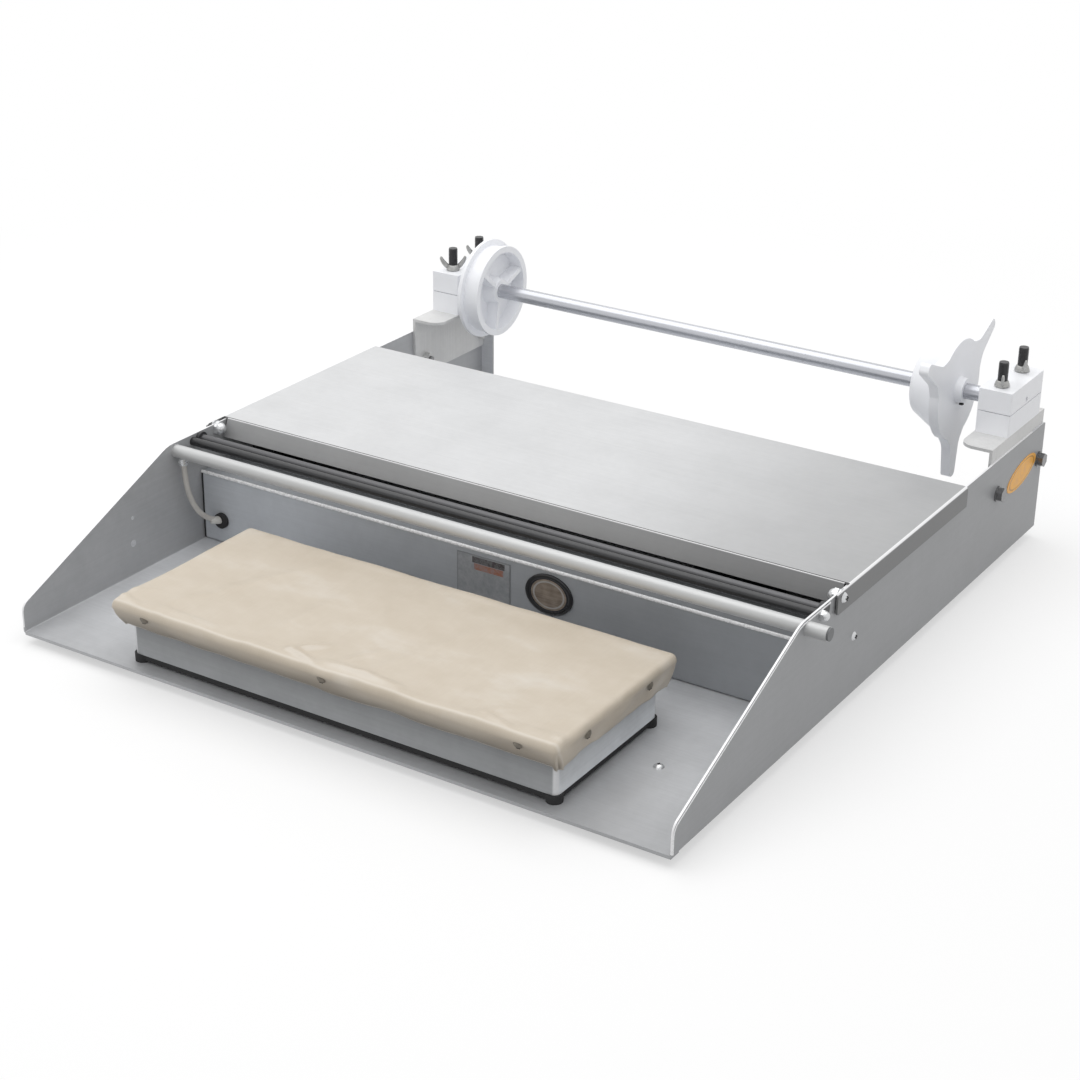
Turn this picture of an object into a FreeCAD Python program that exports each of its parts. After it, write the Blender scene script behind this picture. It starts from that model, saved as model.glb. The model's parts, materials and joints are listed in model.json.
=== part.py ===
import FreeCAD, Part
import math
import os
from FreeCAD import Vector

# Table-top wrapper for stretch film. Millimetres, +Z up, front towards -Y.
# While it is built, X is 0 midway between the side walls, Y is 0 at the tray's front edge and
# Z is 0 on the underside of the base sheet. The last step moves the origin to the middle of
# the overall box, on the surface that the feet stand on.

# Base tray, one folded sheet
body_width = 560.0            # over the two side walls
body_depth = 612.0
sheet = 1.5                   # thickness of all folded steel sheet
wall_height = 95.0
nose_height = 23.0            # height of the wall at the tray's front edge
nose_radius = 9.0
slope_end = 168.0             # where the wall's slope reaches its full height
knee_radius = 30.0
bend_radius = 2.5             # outside of a fold
hem_depth = 11.0              # folded-under front edge
return_width = 13.0           # inward return at the back of each wall
back_lip_height = 11.0

# Feet under the base
foot_height = 8.0
foot_radius = 12.0
foot_front = 92.0
foot_rear = body_depth - foot_front
foot_half_spacing = 217.0
foot_screw_radius = 2.0

# Control compartment
tube_y = 177.3                # middle of the cut-off tube, which the panel and cover follow
panel_front = tube_y + 28.1   # front face of the front panel
panel_height = 61.0
panel_top_flange = 40.0
panel_side_flange = 62.0
panel_foot_flange = 20.0
panel_gap = 0.3               # between a panel's side flange and the wall
rear_panel_face = 438.0
rear_panel_flange = 16.0
side_screw_y = panel_front + 49.9
side_screw_z = 48.9

# Deck cover
cover_gap = 1.0               # between the cover's skirt and the wall
cover_clearance = 0.3         # above the wall's top edge
cover_back = 445.0
cover_fold = panel_front + 34.6   # front fold of the deck
cover_bend = 2.6              # outside of the cover's folds
facet_run = 7.0
facet_drop = 14.8
facet_inset = 1.5             # from the wall's inner face to the end of the facet
skirt_front = cover_fold - 21.0
skirt_drop = 16.5
pivot_y = cover_fold - 12.0
pivot_z = 91.0
pivot_radius = 3.0
pivot_nut_height = 3.0        # of the acorn nut's hexagon
running_gap = 0.06            # radial, where a piece turns or slides on another

# Film guide rods and cut-off tube
rod_radius = 3.5
rod_z = 89.5
tube_to_front_rod = 20.2
rod_pitch = 9.0
front_rod_y = tube_y + tube_to_front_rod
rear_rod_y = front_rod_y + rod_pitch
rod_bush_wall = 1.6
rod_bush_flange = 3.0
rod_end_radius = 2.0          # stub at each end of the front rod, through the wall
rod_end_reach = 5.0           # of the right stub beyond the wall's outer face
rod_nut_height = 3.2          # of the acorn nut's hexagon
tube_radius = 5.3
tube_wall = 1.0
tube_z = 88.0
tube_reach = 17.5             # beyond the right wall's outer face
tube_left_reach = 0.5
tube_plug_head = 1.5
heater_radius = 3.7
tube_plug_depth = 14.0

# Lead of the cut-off tube
lead_radius = 2.2
lead_exit_x = 8.5 - body_width / 2
lead_entry_x = lead_exit_x + 13.2
lead_entry_z = 22.2
gland_radius = 3.6
gland_bite = 0.6             # how far the gland and the lead reach up into the tube's wall
gland_drop = 5.0
grommet_radius = 6.5
grommet_lip = 3.0
grommet_wall = 1.5
plate_lead_x = -72.0          # where the hot plate's lead would leave its box

# Hot plate
hot_x = 3.5                   # middle of the hot plate
hot_y = 77.0
box_length = 366.0
box_width = 131.0
box_base = 8.0                # underside of its sheet box
box_height = 33.0
box_corner = 5.0
box_foot_radius = 6.0
box_foot_inset = 4.5
base_frame_height = 4.6       # black frame between the box and its feet
base_frame_inset = 0.8
base_frame_width = 14.0
plate_end_overhang = 6.0       # plate beyond the ends of its box
plate_side_overhang = 11.5     # plate beyond the long sides of its box
plate_length = box_length + 2 * plate_end_overhang
plate_width = box_width + 2 * plate_side_overhang
plate_thickness = 3.5
plate_stud_radius = 3.0
plate_stud_inset = 26.0        # from the box's walls
cloth_thickness = 0.6
cloth_overhang = 2.4          # cloth's top edge beyond the plate's edge
cloth_gap = 4.2               # between the foot of the skirt and the box
skirt_fall = 20.0             # how far the cloth hangs down the sides
rim_inset = 2.6               # plate's turned-down rim, from the plate's edge
rim_thickness = 2.0
rim_drop = 7.0
rim_screw_drop = 3.3          # cloth screws below the plate's underside
screw_tip = 0.8               # beyond the rim's inner face
plate_lift = 7.5              # plate's underside above the box's top edge
mat_thickness = 1.6
mat_inset = 20.0
pad_gap = 1.0
cloth_screw_radius = 3.4
cloth_screw_height = 1.6
cloth_screw_shank = 1.5
cloth_screw_spacing = 160.0
cloth_side_screw = 40.0       # from the middle of the short sides
cutout_radius = 8.5
cutout_height = 9.0
cutout_reach = 90.0           # from the middle of the hot plate

# Roll brackets
bracket_sheet = 2.5
bracket_length = 110.0
bracket_back = body_depth - 2.0
bracket_front = bracket_back - bracket_length
bracket_top = 107.0
bracket_bottom = 50.7
bracket_flange = 28.5
bracket_corner = 12.0
bracket_bolt_radius = 3.0
bracket_bolt_z = 65.0
bracket_bolt_front = bracket_front + 16.0
bracket_bolt_rear = bracket_back - 6.5
bolt_flange = 6.4             # radius of the bolt heads' flange

# Split bearing blocks
block_width = 68.0            # along Y
block_thickness = 28.0        # along X
block_height = 37.0
block_seam = 0.6
block_edge = 1.2
shaft_y = bracket_front + 65.0
shaft_radius = 6.5
block_end_wall = 5.0          # closes the bore on the outer side
block_mark_radius = 2.0       # small hole in the end wall
block_mark_rise = 4.0         # of that hole above the shaft's middle
shaft_end_gap = 0.5           # from the shaft's end to the end wall
stud_half_spacing = 21.0
stud_radius = 3.8
stud_reach = 20.5             # above the block
stud_hole_gap = 0.3
hex_ratio = 1.7               # across flats of a hexagon head, in thread radii times two
wing_base_radius = 6.5
wing_base_height = 5.5
wing_reach = 12.5
wing_height = 14.0
wing_thickness = 2.4

# Core cup, fixed on the shaft's left end
cup_back = 244.0              # distance of its back face from the middle
cup_flange_radius = 45.0
cup_flange_thickness = 4.0
cup_radius = 39.5
cup_depth = 15.0
cup_wall = 4.0
cup_floor = 4.0
cup_boss_radius = 13.0
cup_rib = 4.0
cup_lip_radius = 41.0
cup_lip = 3.0

# Core cone, slides on the shaft
cone_tip_x = 188.0
cone_tip_radius = 26.0
cone_base_x = 213.0
cone_base_radius = 39.0
star_thickness = 8.0
star_disc_radius = 42.0
star_reach = 77.0
star_tip_radius = 4.5
star_root_half = 15.0
star_back_boss = 6.0
star_back_boss_radius = 11.0
star_lobes = 3
star_first_angle = 31.0       # from +Y towards +Z
set_screw_radius = 2.0

# Badges and plates
badge_half_width = 20.7
badge_half_height = 16.4
badge_x = 56.7
badge_z = 40.8
badge_thickness = 1.2
data_plate_width = 48.0
data_plate_height = 34.0
data_plate_x = -2.0
data_plate_z = 39.0
plate_sheet = 0.6
oval_half_width = 30.0
oval_half_height = 10.5
oval_tilt = 9.0
oval_y = shaft_y + 1.8
oval_z = 65.2
oval_thickness = 0.4

# Controls and electrics
knob_y = panel_front + 84.6
control_z = 46.0
knob_radius = 15.0
knob_reach = 17.5             # beyond the left wall's outer face
knob_gap = 0.8
spindle_radius = 2.5
spindle_bush_wall = 1.4
spindle_reach = 13.0          # beyond the left wall's outer face
thermostat_width = 38.0
thermostat_height = 34.0
thermostat_depth = 22.0
rocker_y = knob_y + 55.0
rocker_width = 17.0
rocker_half_height = 10.2
rocker_raise = 5.0
rocker_swing = 20.0
rocker_frame_lip = 2.0
rocker_frame_depth = 22.0
rocker_frame_wall = 1.5
rocker_play = 0.5
inlet_x = -200.0
inlet_z = 42.0
inlet_width = 27.0
inlet_height = 20.0
inlet_depth = 22.0
inlet_recess = 16.5
inlet_wall = 2.0
inlet_flange_width = 48.0
inlet_flange_height = 24.0
inlet_flange_thickness = 2.0
pin_length = 11.0
transformer_x = 150.0
transformer_y = 330.0
transformer_width = 66.0
transformer_depth = 56.0
transformer_height = 48.0
coil_bulge = 9.0
terminal_x = -60.0
terminal_y = 330.0
terminal_length = 72.0
terminal_width = 22.0
terminal_height = 18.0
terminal_count = 6

half_width = body_width / 2.0
inner_half = half_width - sheet
floor_z = sheet
cover_under = wall_height + cover_clearance
cover_top = cover_under + sheet
skirt_inner = half_width + cover_gap
skirt_outer = skirt_inner + sheet
block_bottom = bracket_top
block_top = block_bottom + block_height
shaft_z = block_bottom + block_height / 2.0
block_outer = inner_half
block_inner = block_outer - block_thickness
plate_under = box_base + box_height + plate_lift
plate_top = plate_under + plate_thickness
mat_under = plate_under - mat_thickness
cloth_top = plate_top + cloth_thickness


def box(x0, x1, y0, y1, z0, z1):
    return Part.makeBox(x1 - x0, y1 - y0, z1 - z0, Vector(x0, y0, z0))


def bar(radius, start, end):
    along = end.sub(start)
    return Part.makeCylinder(radius, along.Length, start, along)


def outline(points, place):
    """Closed wire through (u, v, corner radius) points, with tangent arcs at the corners."""
    corners = []
    count = len(points)
    for index in range(count):
        u, v, radius = points[index]
        here = place(u, v)
        before = place(*points[index - 1][:2]).sub(here)
        after = place(*points[(index + 1) % count][:2]).sub(here)
        before.normalize()
        after.normalize()
        if radius <= 0:
            corners.append((here, None, here))
            continue
        half = before.getAngle(after) / 2.0
        run = radius / math.tan(half)
        middle = before.add(after)
        middle.normalize()
        centre = here.add(middle * (radius / math.sin(half)))
        crown = centre.sub(middle * radius)
        corners.append((here.add(before * run), crown, here.add(after * run)))
    edges = []
    for index in range(count):
        start, crown, end = corners[index]
        if crown is not None:
            edges.append(Part.Arc(start, crown, end).toShape())
        following = corners[(index + 1) % count][0]
        if end.distanceToPoint(following) > 1e-6:
            edges.append(Part.LineSegment(end, following).toShape())
    return Part.Wire(edges)


def prism_x(points, x0, x1):
    wire = outline(points, lambda y, z: Vector(x0, y, z))
    return Part.Face(wire).extrude(Vector(x1 - x0, 0, 0))


def prism_y(points, y0, y1):
    wire = outline(points, lambda x, z: Vector(x, y0, z))
    return Part.Face(wire).extrude(Vector(0, y1 - y0, 0))


def prism_z(points, z0, z1):
    wire = outline(points, lambda x, y: Vector(x, y, z0))
    return Part.Face(wire).extrude(Vector(0, 0, z1 - z0))


def rectangle(u0, u1, v0, v1, radius):
    return [(u0, v0, radius), (u1, v0, radius), (u1, v1, radius), (u0, v1, radius)]


def turned_x(points, y, z):
    """Solid of revolution about an X axis; points are (x, radius)."""
    corners = [Vector(x, y, z + radius) for x, radius in points]
    corners.append(corners[0])
    face = Part.Face(Part.makePolygon(corners))
    return face.revolve(Vector(0, y, z), Vector(1, 0, 0), 360)


def hexagon(flats, start, end):
    """Hexagonal bar between two points, with its flats' distance given."""
    along = end.sub(start)
    reach = flats / math.sqrt(3.0)
    corners = [Vector(reach * math.cos(math.radians(60 * k)),
                      reach * math.sin(math.radians(60 * k)), 0) for k in range(7)]
    solid = Part.Face(Part.makePolygon(corners)).extrude(Vector(0, 0, along.Length))
    turn = FreeCAD.Rotation(Vector(0, 0, 1), along)
    solid.Placement = FreeCAD.Placement(start, turn)
    return solid


def pan_head(radius, height, base, direction):
    """Low domed screw head that stands on base and rises along direction."""
    ball = (radius * radius + height * height) / (2 * height)
    half = math.asin(radius / ball) / 2
    crown = Vector(0, 0, height)
    rim = Vector(radius, 0, 0)
    between = Vector(ball * math.sin(half), 0, height - ball + ball * math.cos(half))
    edges = [Part.LineSegment(Vector(0, 0, 0), rim).toShape(),
             Part.Arc(rim, between, crown).toShape(),
             Part.LineSegment(crown, Vector(0, 0, 0)).toShape()]
    head = Part.Face(Part.Wire(edges)).revolve(Vector(0, 0, 0), Vector(0, 0, 1), 360)
    head.Placement = FreeCAD.Placement(base, FreeCAD.Rotation(Vector(0, 0, 1), direction))
    return head


def ellipse_prism(half_u, half_v, centre, direction, thickness, tilt):
    """Oval plate whose long axis is tilted from the horizontal."""
    ring = Part.Ellipse(Vector(0, 0, 0), max(half_u, half_v), min(half_u, half_v))
    face = Part.Face(Part.Wire(ring.toShape()))
    plate = face.extrude(Vector(0, 0, thickness))
    plate.rotate(Vector(0, 0, 0), Vector(0, 0, 1), tilt)
    across = Vector(0, 0, 1).cross(direction)
    turn = FreeCAD.Rotation(across, Vector(0, 0, 1), direction, "ZXY")
    plate.Placement = FreeCAD.Placement(centre, turn).multiply(plate.Placement)
    return plate


def both_sides(make):
    """One solid for each side wall, from a function of the side's sign."""
    return Part.makeCompound([make(-1), make(1)])


def across_wall(side, x_near, x_far, y, z, radius):
    """Bar along X at one side wall, from one distance off the middle to another."""
    return bar(radius, Vector(side * x_near, y, z), Vector(side * x_far, y, z))


# Base tray


def wall_profile():
    return [(0, 0, 0), (0, nose_height, nose_radius), (slope_end, wall_height, knee_radius),
            (body_depth, wall_height, 2.0), (body_depth, 0, 0)]


def base_tray():
    outer = prism_y([(-half_width, 0, bend_radius), (half_width, 0, bend_radius),
                     (half_width, wall_height, 0), (-half_width, wall_height, 0)],
                    0, body_depth)
    inner = prism_y([(-inner_half, floor_z, bend_radius - sheet),
                     (inner_half, floor_z, bend_radius - sheet),
                     (inner_half, wall_height + 1, 0), (-inner_half, wall_height + 1, 0)],
                    0, body_depth)
    tray = outer.cut(inner).common(prism_x(wall_profile(), -half_width, half_width))
    hem = prism_x(rectangle(0, hem_depth, -sheet, sheet, sheet * 0.6),
                  -inner_half, inner_half)
    lip = box(-inner_half, inner_half, body_depth - sheet, body_depth, 0, back_lip_height)
    tray = tray.fuse([hem, lip])
    for side in (-1, 1):
        near = min(side * inner_half, side * (inner_half - return_width))
        tray = tray.fuse(box(near, near + return_width, body_depth - sheet, body_depth,
                             back_lip_height + sheet, wall_height - sheet))
    return tray.cut(tray_holes()).removeSplitter()


def tray_holes():
    holes = []
    for side in (-1, 1):
        holes.append(across_wall(side, inner_half - 1, half_width + 1, tube_y, tube_z,
                                 tube_radius + running_gap))
        holes.append(across_wall(side, inner_half - 1, half_width + 1, front_rod_y, rod_z,
                                 rod_end_radius))
        holes.append(across_wall(side, inner_half - 1, half_width + 1, rear_rod_y, rod_z,
                                 rod_radius + rod_bush_wall + running_gap))
        holes.append(across_wall(side, inner_half - 1, half_width + 1, pivot_y, pivot_z,
                                 pivot_radius + running_gap))
        holes.append(across_wall(side, inner_half - 1, half_width + 1, side_screw_y,
                                 side_screw_z, foot_screw_radius))
        for y in bracket_bolt_places():
            holes.append(across_wall(side, inner_half - 1, half_width + 1, y, bracket_bolt_z,
                                     bracket_bolt_radius + stud_hole_gap))
    for x, y in foot_places():
        holes.append(bar(foot_screw_radius, Vector(x, y, -1), Vector(x, y, floor_z + 1)))
    holes.append(across_wall(-1, inner_half - 1, half_width + 1, knob_y, control_z,
                             spindle_radius + spindle_bush_wall))
    opening = rocker_opening()
    holes.append(box(-half_width - 1, -inner_half + 1, opening[0], opening[1],
                     opening[2], opening[3]))
    return Part.makeCompound(holes)


def foot_places():
    return [(side * foot_half_spacing, y) for side in (-1, 1) for y in (foot_front, foot_rear)]


def bracket_bolt_places():
    return (bracket_bolt_front, bracket_bolt_rear)


def base_feet():
    feet = []
    for x, y in foot_places():
        pad = Part.makeCone(foot_radius, foot_radius * 0.85, foot_height,
                            Vector(x, y, -foot_height))
        pad = pad.cut(bar(foot_screw_radius, Vector(x, y, -foot_height + 3), Vector(x, y, 0)))
        feet.append(pad)
    return Part.makeCompound(feet)


def foot_screws():
    screws = []
    for x, y in foot_places():
        shank = bar(foot_screw_radius, Vector(x, y, -foot_height + 3), Vector(x, y, floor_z))
        head = pan_head(foot_screw_radius * 2, 2.2, Vector(x, y, floor_z), Vector(0, 0, 1))
        screws.append(shank.fuse(head))
    return Part.makeCompound(screws)


# Control compartment


def front_panel():
    width = inner_half - panel_gap
    bend = bend_radius
    back = panel_front + panel_top_flange
    foot = panel_front + panel_foot_flange
    outside = [(panel_front, floor_z, bend), (panel_front, panel_height, bend),
               (back, panel_height, 0), (back, panel_height - sheet, 0),
               (panel_front + sheet, panel_height - sheet, bend - sheet),
               (panel_front + sheet, floor_z + sheet, bend - sheet),
               (foot, floor_z + sheet, 0), (foot, floor_z, 0)]
    panel = prism_x(outside, -width, width)
    for side in (-1, 1):
        low = min(side * width, side * (width - sheet))
        panel = panel.fuse(box(low, low + sheet, panel_front + bend,
                               panel_front + panel_side_flange, floor_z, panel_height))
    cuts = [bar(grommet_radius - grommet_wall, Vector(lead_entry_x, panel_front - 1,
                                                      lead_entry_z),
                Vector(lead_entry_x, panel_front + sheet + 1, lead_entry_z)),
            bar(grommet_radius - grommet_wall,
                Vector(plate_lead_x, panel_front - 1, plate_lead_z()),
                Vector(plate_lead_x, panel_front + sheet + 1, plate_lead_z()))]
    for side in (-1, 1):
        cuts.append(across_wall(side, width - sheet - 1, width + 1, side_screw_y,
                                side_screw_z, foot_screw_radius))
    return panel.cut(Part.makeCompound(cuts)).removeSplitter()


def plate_lead_z():
    return box_base + box_height / 5.0


def rear_panel():
    width = inner_half - panel_gap
    top = cover_under - cover_clearance - sheet
    panel = box(-width, width, rear_panel_face - sheet, rear_panel_face, floor_z, top)
    foot = box(-width, width, rear_panel_face - rear_panel_flange, rear_panel_face,
               floor_z, floor_z + sheet)
    brow = box(-width, width, rear_panel_face - rear_panel_flange, rear_panel_face,
               top - sheet, top)
    hole = box(inlet_x - inlet_width / 2, inlet_x + inlet_width / 2,
               rear_panel_face - sheet - 1, rear_panel_face + 1,
               inlet_z - inlet_height / 2, inlet_z + inlet_height / 2)
    return panel.fuse([foot, brow]).cut(hole).removeSplitter()


def side_screws():
    def make(side):
        shank = across_wall(side, inner_half - panel_gap - sheet, half_width, side_screw_y,
                            side_screw_z, foot_screw_radius)
        head = pan_head(foot_screw_radius * 1.7, 2.0,
                        Vector(side * half_width, side_screw_y, side_screw_z),
                        Vector(side, 0, 0))
        return shank.fuse(head)
    return both_sides(make)


# Deck cover


def deck_cover():
    low = cover_top - skirt_drop
    bend = cover_bend
    outer = prism_y([(-skirt_outer, low - 1, 0), (-skirt_outer, cover_top, bend),
                     (skirt_outer, cover_top, bend), (skirt_outer, low - 1, 0)],
                    skirt_front, cover_back)
    inner = prism_y([(-skirt_inner, low - 2, 0), (-skirt_inner, cover_under, bend - sheet),
                     (skirt_inner, cover_under, bend - sheet), (skirt_inner, low - 2, 0)],
                    skirt_front - 1, cover_back + 1)
    side = prism_x([(skirt_front, low, 2.0), (skirt_front, cover_top, 3.0),
                    (cover_back, cover_top, 0), (cover_back, low, 0)],
                   -skirt_outer, skirt_outer)
    cover = outer.cut(inner).common(side)
    cover = cover.cut(box(-skirt_inner, skirt_inner, skirt_front - 1, cover_fold, low - 1,
                          cover_top + 1))
    end = inner_half - facet_inset
    cover = cover.fuse(deck_facet(end))
    lip = box(-end, end, cover_back - sheet, cover_back, cover_top - skirt_drop / 2,
              cover_top - sheet / 2)
    cover = cover.fuse(lip)
    holes = both_sides(lambda side: across_wall(side, skirt_inner - 0.5, skirt_outer + 1,
                                                pivot_y, pivot_z, pivot_radius + running_gap))
    return cover.cut(holes).removeSplitter()


def deck_facet(end):
    """Slanted front face of the deck, folded down from the top sheet."""
    slope = math.hypot(facet_run, facet_drop)
    across = sheet * slope / facet_drop
    foot_y = cover_fold - facet_run
    foot_z = cover_top - facet_drop
    under_y = cover_fold + across - sheet * facet_run / facet_drop
    points = [(cover_fold + 4, cover_top, 0), (cover_fold, cover_top, cover_bend),
              (foot_y, foot_z, 0), (foot_y + across, foot_z, 0),
              (under_y, cover_under, cover_bend - sheet), (cover_fold + 4, cover_under, 0)]
    return prism_x(points, -end, end)


def pivot_bolts():
    def make(side):
        shank = across_wall(side, inner_half - pivot_nut_height - 2, skirt_outer + running_gap, pivot_y, pivot_z,
                            pivot_radius)
        head = pan_head(pivot_radius * 1.3, 2.6,
                        Vector(side * (skirt_outer + running_gap), pivot_y, pivot_z),
                        Vector(side, 0, 0))
        return shank.fuse(head)
    return both_sides(make)


def pivot_washers():
    def make(side):
        near = half_width
        far = skirt_inner - running_gap
        ring = across_wall(side, near, far, pivot_y, pivot_z, pivot_radius * 2)
        return ring.cut(across_wall(side, near - 1, far + 1, pivot_y, pivot_z, pivot_radius))
    return both_sides(make)


def acorn_nuts():
    def make(side):
        flats = pivot_radius * 2 * hex_ratio
        base = Vector(side * inner_half, pivot_y, pivot_z)
        low = inner_half - pivot_nut_height
        shoulder = Vector(side * low, pivot_y, pivot_z)
        nut = hexagon(flats, base, shoulder)
        dome = Part.makeSphere(flats / 2 * 0.96, shoulder)
        dome = dome.common(across_wall(side, low - flats, low + 1, pivot_y, pivot_z, flats / 2))
        hole = across_wall(side, low - 2, inner_half + 1, pivot_y, pivot_z, pivot_radius)
        return nut.fuse(dome).cut(hole)
    return both_sides(make)


# Guide rods and cut-off tube


def rear_guide_rod():
    reach = inner_half - 0.5
    return bar(rod_radius, Vector(-reach, rear_rod_y, rod_z), Vector(reach, rear_rod_y, rod_z))


def rod_bushes():
    def make(side):
        body = across_wall(side, inner_half, half_width, rear_rod_y, rod_z,
                           rod_radius + rod_bush_wall)
        flange = across_wall(side, inner_half - rod_bush_flange, inner_half, rear_rod_y, rod_z,
                             rod_radius + rod_bush_wall + 0.4)
        bore = across_wall(side, inner_half - rod_bush_flange - 1, inner_half - 0.2,
                           rear_rod_y, rod_z, rod_radius + running_gap)
        return body.fuse(flange).cut(bore)
    return both_sides(make)


def front_guide_rod():
    """Rod between the walls, with a stub in each wall and a thread on the right one."""
    rod = bar(rod_radius, Vector(-inner_half, front_rod_y, rod_z),
              Vector(inner_half, front_rod_y, rod_z))
    stub = bar(rod_end_radius, Vector(-half_width, front_rod_y, rod_z),
               Vector(half_width + rod_end_reach, front_rod_y, rod_z))
    return rod.fuse(stub)


def rod_nuts():
    """Acorn nut that pulls the front rod against the right wall."""
    flats = rod_end_radius * 2 * hex_ratio * 1.06
    base = Vector(half_width, front_rod_y, rod_z)
    shoulder = Vector(half_width + rod_nut_height, front_rod_y, rod_z)
    dome = Part.makeSphere(flats / 2 * 0.96, shoulder)
    dome = dome.common(bar(flats / 2, shoulder.sub(Vector(1, 0, 0)),
                           shoulder.add(Vector(flats, 0, 0))))
    hole = bar(rod_end_radius, base.sub(Vector(1, 0, 0)), base.add(Vector(rod_end_reach, 0, 0)))
    return hexagon(flats, base, shoulder).fuse(dome).cut(hole)


def tube_ends():
    return (-half_width - tube_left_reach, half_width + tube_reach - tube_plug_head)


def cutoff_tube():
    left, right = tube_ends()
    tube = bar(tube_radius, Vector(left, tube_y, tube_z), Vector(right, tube_y, tube_z))
    bore = bar(tube_radius - tube_wall, Vector(left - 1, tube_y, tube_z),
               Vector(right + 1, tube_y, tube_z))
    port = bar(lead_radius, Vector(lead_exit_x, tube_y, tube_z - tube_radius - 1),
               Vector(lead_exit_x, tube_y, tube_z))
    return tube.cut(bore).cut(port)


def tube_end_plugs():
    left, right = tube_ends()
    plugs = []
    for edge, outward in ((left, -1), (right, 1)):
        head = bar(tube_radius - tube_wall / 2, Vector(edge, tube_y, tube_z),
                   Vector(edge + outward * tube_plug_head, tube_y, tube_z))
        stem_depth = tube_plug_depth if outward > 0 else tube_left_reach + sheet
        stem = bar(tube_radius - tube_wall - 0.05, Vector(edge, tube_y, tube_z),
                   Vector(edge - outward * stem_depth, tube_y, tube_z))
        plugs.append(head.fuse(stem))
    return Part.makeCompound(plugs)


def tube_heater():
    left, right = tube_ends()
    return bar(heater_radius, Vector(lead_exit_x + lead_radius * 2 + 2, tube_y, tube_z),
               Vector(right - tube_plug_depth, tube_y, tube_z))


def lead_gland():
    top = tube_z - tube_radius + gland_bite
    low = tube_z - tube_radius - gland_drop
    collar = bar(gland_radius, Vector(lead_exit_x, tube_y, low), Vector(lead_exit_x, tube_y, top))
    cap = bar(gland_radius * 1.2, Vector(lead_exit_x, tube_y, low + gland_drop * 0.4),
              Vector(lead_exit_x, tube_y, low + gland_drop * 0.8))
    gland = collar.fuse(cap)
    gland = gland.cut(bar(tube_radius, Vector(lead_exit_x - 9, tube_y, tube_z),
                          Vector(lead_exit_x + 9, tube_y, tube_z)))
    return gland.cut(bar(lead_radius, Vector(lead_exit_x, tube_y, low - 1),
                         Vector(lead_exit_x, tube_y, tube_z)))


def lead_route():
    """Points of the lead, from the tube's gland to the grommet in the front panel."""
    top = tube_z - tube_radius + gland_bite
    end = panel_front + sheet + grommet_lip
    return [Vector(lead_exit_x, tube_y, top),
            Vector(lead_exit_x + 0.2, tube_y + 0.7, top - 16.5),
            Vector(lead_exit_x + 0.8, tube_y + 3.7, lead_entry_z + 26.8),
            Vector(lead_exit_x + 3.6, end - 22.6, lead_entry_z + 11.5),
            Vector(lead_entry_x - 4.1, end - 12.9, lead_entry_z + 1.8),
            Vector(lead_entry_x + 1.7, end, lead_entry_z - 0.7)]


def cord_tube(points, radius, name):
    """Round tube of straight runs joined by tangent arcs; prints its radii and its volume."""
    corners = []
    radii = []
    for before, here, after in zip(points, points[1:], points[2:]):
        back = before.sub(here)
        ahead = after.sub(here)
        shorter = min(back.Length, ahead.Length)
        turn = math.pi - back.getAngle(ahead)
        arc_radius = 0.45 * shorter / math.tan(turn / 2)
        radii.append(arc_radius)
        back.normalize()
        ahead.normalize()
        middle = back.add(ahead)
        middle.normalize()
        run = 0.45 * shorter
        start = here.add(back * run)
        end = here.add(ahead * run)
        centre = here.add(middle * (arc_radius / math.cos(turn / 2)))
        crown = centre.sub(middle * arc_radius)
        corners.append((start, crown, end))
    edges = []
    last = points[0]
    for start, crown, end in corners:
        edges.append(Part.LineSegment(last, start).toShape())
        edges.append(Part.Arc(start, crown, end).toShape())
        last = end
    edges.append(Part.LineSegment(last, points[-1]).toShape())
    path = Part.Wire(edges)
    ring = Part.Wire(Part.makeCircle(radius, points[0], points[1].sub(points[0])))
    tube = path.makePipeShell([ring], True, False)
    expected = math.pi * radius * radius * path.Length
    print(name, "radii", [round(value, 1) for value in radii], "length", round(path.Length, 1),
          "volume ratio", round(tube.Volume / expected, 4))
    return tube


def tube_lead():
    return cord_tube(lead_route(), lead_radius, "tube_lead")


def grommet(x, z):
    """Rubber ring snapped into the front panel's hole."""
    near = panel_front - grommet_lip
    far = panel_front + sheet + grommet_lip
    seat = grommet_radius - grommet_wall
    front = bar(grommet_radius, Vector(x, near, z), Vector(x, panel_front, z))
    neck = bar(seat, Vector(x, near, z), Vector(x, far, z))
    back = bar(grommet_radius, Vector(x, panel_front + sheet, z), Vector(x, far, z))
    return front.fuse([neck, back])


def lead_grommet():
    hole = cord_tube_clearance()
    return grommet(lead_entry_x, lead_entry_z).cut(hole)


def cord_tube_clearance():
    route = lead_route()
    ahead = route[-1].sub(route[-2])
    ahead.normalize()
    return bar(lead_radius, route[-1].sub(ahead * 14), route[-1].add(ahead * 3))


def plate_lead_grommet():
    hole = bar(lead_radius, Vector(plate_lead_x, panel_front - grommet_lip - 1, plate_lead_z()),
               Vector(plate_lead_x, panel_front + sheet + grommet_lip + 1, plate_lead_z()))
    return grommet(plate_lead_x, plate_lead_z()).cut(hole)


# Hot plate


def hot_rectangle(length, width, radius):
    return rectangle(hot_x - length / 2, hot_x + length / 2,
                     hot_y - width / 2, hot_y + width / 2, radius)


def plate_box():
    outer = prism_z(hot_rectangle(box_length, box_width, box_corner),
                    box_base, box_base + box_height)
    inner = prism_z(hot_rectangle(box_length - 2 * sheet, box_width - 2 * sheet,
                                  box_corner - sheet),
                    box_base + sheet, box_base + box_height + 1)
    gland_hole = bar(gland_radius, Vector(plate_lead_x, box_back() - sheet - 1, plate_lead_z()),
                     Vector(plate_lead_x, box_back() + 1, plate_lead_z()))
    return outer.cut(inner).cut(gland_hole)


def box_back():
    return hot_y + box_width / 2


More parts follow.
